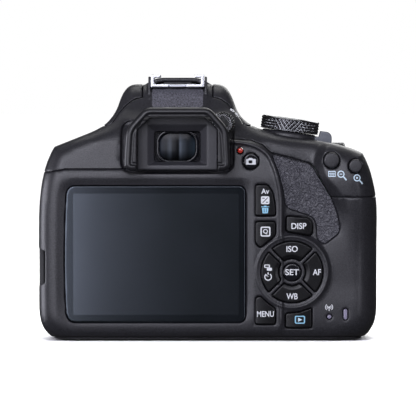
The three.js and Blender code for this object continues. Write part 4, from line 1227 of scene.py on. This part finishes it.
def print_mark(name, curve, resize, place, body, look):
    """Turns a flat curve into a thin printed piece; resize gives its own scale from its points."""
    source = bpy.data.objects.new(name, curve)
    mesh = bpy.data.meshes.new_from_object(source)
    bpy.data.objects.remove(source)
    mesh.name = name
    mesh.transform(place @ resize(np.array([v.co for v in mesh.vertices])))
    mesh.materials.clear()
    return add_object(name, mesh, look, body)


def label(text, place, height, width, body, look="white", weight=0.1):
    """A printed word of a given width and capital height in millimetres."""
    name = "label_" + "".join(c for c in text.lower() if c.isalnum()) + "_" + body
    curve = bpy.data.curves.new(name, "FONT")
    curve.body = text
    curve.offset = weight / height * 0.4
    curve.extrude = 0.02

    def resize(points):
        low, high = points.min(0), points.max(0)
        centre = (low + high) / 2
        scale = (width / (high[0] - low[0]) * MM, height / (high[1] - low[1]) * MM, MM, 1)
        return Matrix.Diagonal(scale) @ Matrix.Translation((-centre[0], -centre[1], 0))

    return print_mark(name, curve, resize, place, body, look)


def mark(name, loops, place, body, look="white"):
    """A printed sign from closed loops in millimetres; a loop inside another is a hole."""
    curve = bpy.data.curves.new(name, "CURVE")
    curve.dimensions = "2D"
    curve.fill_mode = "BOTH"
    curve.extrude = 0.02
    for points in loops:
        spline = curve.splines.new("POLY")
        spline.points.add(len(points) - 1)
        for point, (a, b) in zip(spline.points, points):
            point.co = (a, b, 0, 1)
        spline.use_cyclic_u = True
    scale = Matrix.Diagonal((MM, MM, MM, 1))
    return print_mark(name, curve, lambda points: scale, place, body, look)


def drape(piece):
    """Lays a printed piece drawn at y = 0 onto the curved back."""
    depth = np.linspace(-29.5, -10, 391)
    for vertex in piece.data.vertices:
        x, y, z = vertex.co / MM
        values = body_field(np.full_like(depth, x), depth, np.full_like(depth, z))
        first = int(np.argmax(values < 0))
        outside, inside = values[first - 1], values[first]
        surface = depth[first] - 0.05 * inside / (inside - outside)
        vertex.co.y = (surface - 0.05 + y) * MM


def bar(x0, z0, x1, z1, width):
    """A straight stroke as a closed loop."""
    run, rise = x1 - x0, z1 - z0
    length = math.hypot(run, rise)
    a, b = -rise / length * width / 2, run / length * width / 2
    return [(x0 + a, z0 + b), (x1 + a, z1 + b), (x1 - a, z1 - b), (x0 - a, z0 - b)]


def band(x, z, radius, width, start, end, steps=24):
    """A stroke along an arc as a closed loop."""
    outer = arc(x, z, radius + width / 2, start, end, steps)
    inner = arc(x, z, radius - width / 2, end, start, steps)
    return outer + inner


def make_button_marks():
    face = -25.02
    label("Av", on_rear(21.7, face, 57.1), 2.0, 3.0, "exposure_button")
    square = rectangle(-1.6, 1.6, -1.5, 1.5, 0.35)
    slash = bar(-1.0, -1.0, 1.0, 1.0, 0.28)
    minus = bar(0.25, -0.75, 1.15, -0.75, 0.28)
    plus = bar(-1.15, 0.75, -0.2, 0.75, 0.28)
    place = on_rear(21.7, face, 53.7)
    mark("exposure_sign", [square, slash, minus, plus], place, "exposure_button")
    can = soft_corners([(-1.0, -1.3), (1.0, -1.3), (1.25, 0.8), (-1.25, 0.8)], 0.3)
    ribs = [bar(side * 0.4, -0.9, side * 0.45, 0.5, 0.2) for side in (-1, 1)]
    lid = symmetric([(1.5, 1.05), (1.5, 1.35), (0.5, 1.35), (0.4, 1.65)])
    mark("delete_sign", [can, *ribs, lid], on_rear(21.7, face, 50.0), "exposure_button", "blue")

    quick = [rectangle(-1.9, 1.9, -1.9, 1.9, 0.5), rectangle(-1.4, 1.4, -1.4, 1.4, 0.25)]
    mark("quick_frame", quick, on_rear(21.8, face, 41.8), "quick_button")
    label("Q", on_rear(21.8, face, 41.75), 2.0, 1.8, "quick_button")
    label("MENU", on_rear(21.8, face, 10.5), 2.2, 6.4, "menu_button")
    label("DISP", on_rear(34.5, -24.73, 43.9), 2.3, 5.7, "disp_button")
    screen = [rectangle(-1.95, 1.95, -1.5, 1.5, 0.4), rectangle(-1.5, 1.5, -1.1, 1.1, 0.2)]
    place = on_rear(34.9, -24.73, 8.3)
    mark("play_frame", screen, place, "playback_button", "blue")
    mark("play_sign", [[(-0.7, -0.75), (0.85, 0), (-0.7, 0.75)]], place, "playback_button", "pale")

    key_face = -25.04
    label("ISO", on_rear(PAD_X, key_face, 35.2), 2.3, 4.3, "iso_key")
    label("WB", on_rear(PAD_X, key_face, 17.2), 2.3, 4.3, "wb_key")
    label("AF", on_rear(41.3, key_face, PAD_Z), 2.3, 3.1, "af_key")
    label("SET", on_rear(PAD_X, -25.53, PAD_Z), 2.3, 5.1, "set_button")
    back_card = [rectangle(-1.5, 0.7, -0.1, 1.2, 0.3), rectangle(-1.1, 0.3, 0.25, 0.85, 0.15)]
    front_card = rectangle(-0.5, 1.5, -1.2, 0.0, 0.3)
    mark("drive_sign", [*back_card, front_card], on_rear(22.8, key_face, 28.1), "drive_key")
    dial = band(0, 0, 1.25, 0.4, math.radians(125), math.radians(415))
    timer = [dial, bar(-0.7, 0.75, 0.15, -0.25, 0.4), bar(0, 0.9, 0, 1.7, 0.4)]
    mark("timer_sign", timer, on_rear(22.8, key_face, 24.6), "drive_key")

    camera = [(-1.85, -1.2), (1.85, -1.2), (1.85, 0.9), (0.9, 0.9)]
    camera += [(0.5, 1.35), (-0.7, 1.35), (-1.0, 0.9), (-1.85, 0.9)]
    camera = soft_corners(camera, 0.3)
    camera = [camera, rectangle(-0.9, 0.5, -0.7, 0.45, 0.1)]
    mark("live_view_sign", camera, on_rear(16.3, -25.31, 68.4), "live_view_button")


def make_body_marks():
    grid = [rectangle(-1.4, 1.4, -1.1, 1.1, 0.1)]
    for x in (-0.8, 0, 0.8):
        grid += [rectangle(x - 0.32, x + 0.32, z - 0.3, z + 0.3, 0.05) for z in (-0.45, 0.45)]
    drape(mark("index_sign", grid, on_rear(47.0, 0, 63.7), "body", "pale"))
    lens = [circle(0, 0, 1.35), circle(0, 0, 0.95), bar(1.0, -1.0, 2.1, -2.3, 0.5)]
    minus, plus = bar(-0.5, 0, 0.5, 0, 0.3), circle(0, 0, 0.4)
    drape(mark("reduce_sign", [*lens, minus], on_rear(50.4, 0, 63.6), "body", "pale"))
    drape(mark("enlarge_sign", [*lens, plus], on_rear(56.5, 0, 62.2), "body", "pale"))

    waves = [
        band(0, 0, radius, 0.28, side - 0.85, side + 0.85, 10)
        for radius in (0.75, 1.35)
        for side in (0, math.pi)
    ]
    mast = [circle(0, 0, 0.35, 16), bar(0, -0.3, 0, -1.4, 0.3)]
    drape(mark("wireless_sign", waves + mast, on_rear(46, 0, 13), "body"))

    x, _, z = middle("diopter_knob")
    strokes = [bar(2.8, 5.4, 4.2, 4.5, 0.7), bar(4.8, 3.9, 6.3, 2.5, 0.7), bar(5.1, 2.6, 6.0, 3.7, 0.6)]
    for k, stroke in enumerate(strokes):
        drape(mark(f"diopter_sign_{k + 1}", [stroke], on_rear(x, 0, z), "body"))

    spots = {"red": (90, circle(30.6, 0, 0.9, 20)), "white": (128, rectangle(29.8, 31.4, -0.8, 0.8, 0.1))}
    for look, (degrees, spot) in spots.items():
        place = at(LENS_X, FLANGE + 0.02, LENS_Z, -math.radians(degrees), "Y")
        place = place @ Matrix.Rotation(-math.pi / 2, 4, "X")
        mark("mount_index_" + look, [spot], place, "body", look)


def make_dial_marks():
    """Exposure modes round the top of the dial; the ones without letters get a small sign."""
    modes = ("M", "Av", "Tv", "P", "A", "CA", "", "", "", "", "", "", "")
    for k, text in enumerate(modes):
        turn = dial_place() @ Matrix.Rotation(-k * 2 * math.pi / len(modes) - 1.2, 4, "Z")
        place = turn @ at(0, 7.6, DIAL_TOP)
        if text:
            label(text, place, 1.7, 1.3 * len(text) + 0.3, "mode_dial")
        else:
            sign = [circle(0, 0, 0.85, 20), circle(0, 0, 0.55 if k % 2 else 0.3, 20)]
            mark(f"mode_sign_{k}", sign, place, "mode_dial")
    groove = [circle(0, 0, 5.2, 48), circle(0, 0, 5.0, 48)]
    mark("mode_ring", groove, dial_place() @ at(0, 0, DIAL_TOP), "mode_dial", "steel")


# ---------------------------------------------------------------- CAD nodes that keep their own shape
def finish_inner_nodes():
    looks = {
        "dark": ["mirror_box", "shutter_unit", "shutter_curtain", "terminal_block", "shoe_contact_plate",
                 "flash_capacitor"],
        "button": ["battery_door_latch"],
        "mirror": ["reflex_mirror", "pentamirror"],
        "chrome": ["lens_lock_pin"],
        "frame": ["lens_contact_block"],
        "board": ["main_board", "button_board"],
        "sensor": ["image_sensor"],
        "cell": ["battery"],
        "card": ["memory_card"],
        "optic": ["focusing_screen", "lcd_panel"],
        "diffuser": ["flash_window"],
        "lamp": ["self_timer_lamp"],
    }
    for look, nodes in looks.items():
        for node in nodes:
            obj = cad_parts[node]
            obj.data.materials.clear()
            obj.data.materials.append(LOOKS[look])


add_camera()
make_materials()
add_studio()
make_rear_cover()
make_top_cover()
make_front_cover()
make_base()
make_flash()
make_thumb_rest()
make_screen()
make_buttons()
make_lamps()
make_viewfinder()
make_mode_dial()
make_grip_controls()
make_shoe()
make_mount()
make_fittings()
make_button_marks()
make_body_marks()
make_dial_marks()
finish_inner_nodes()
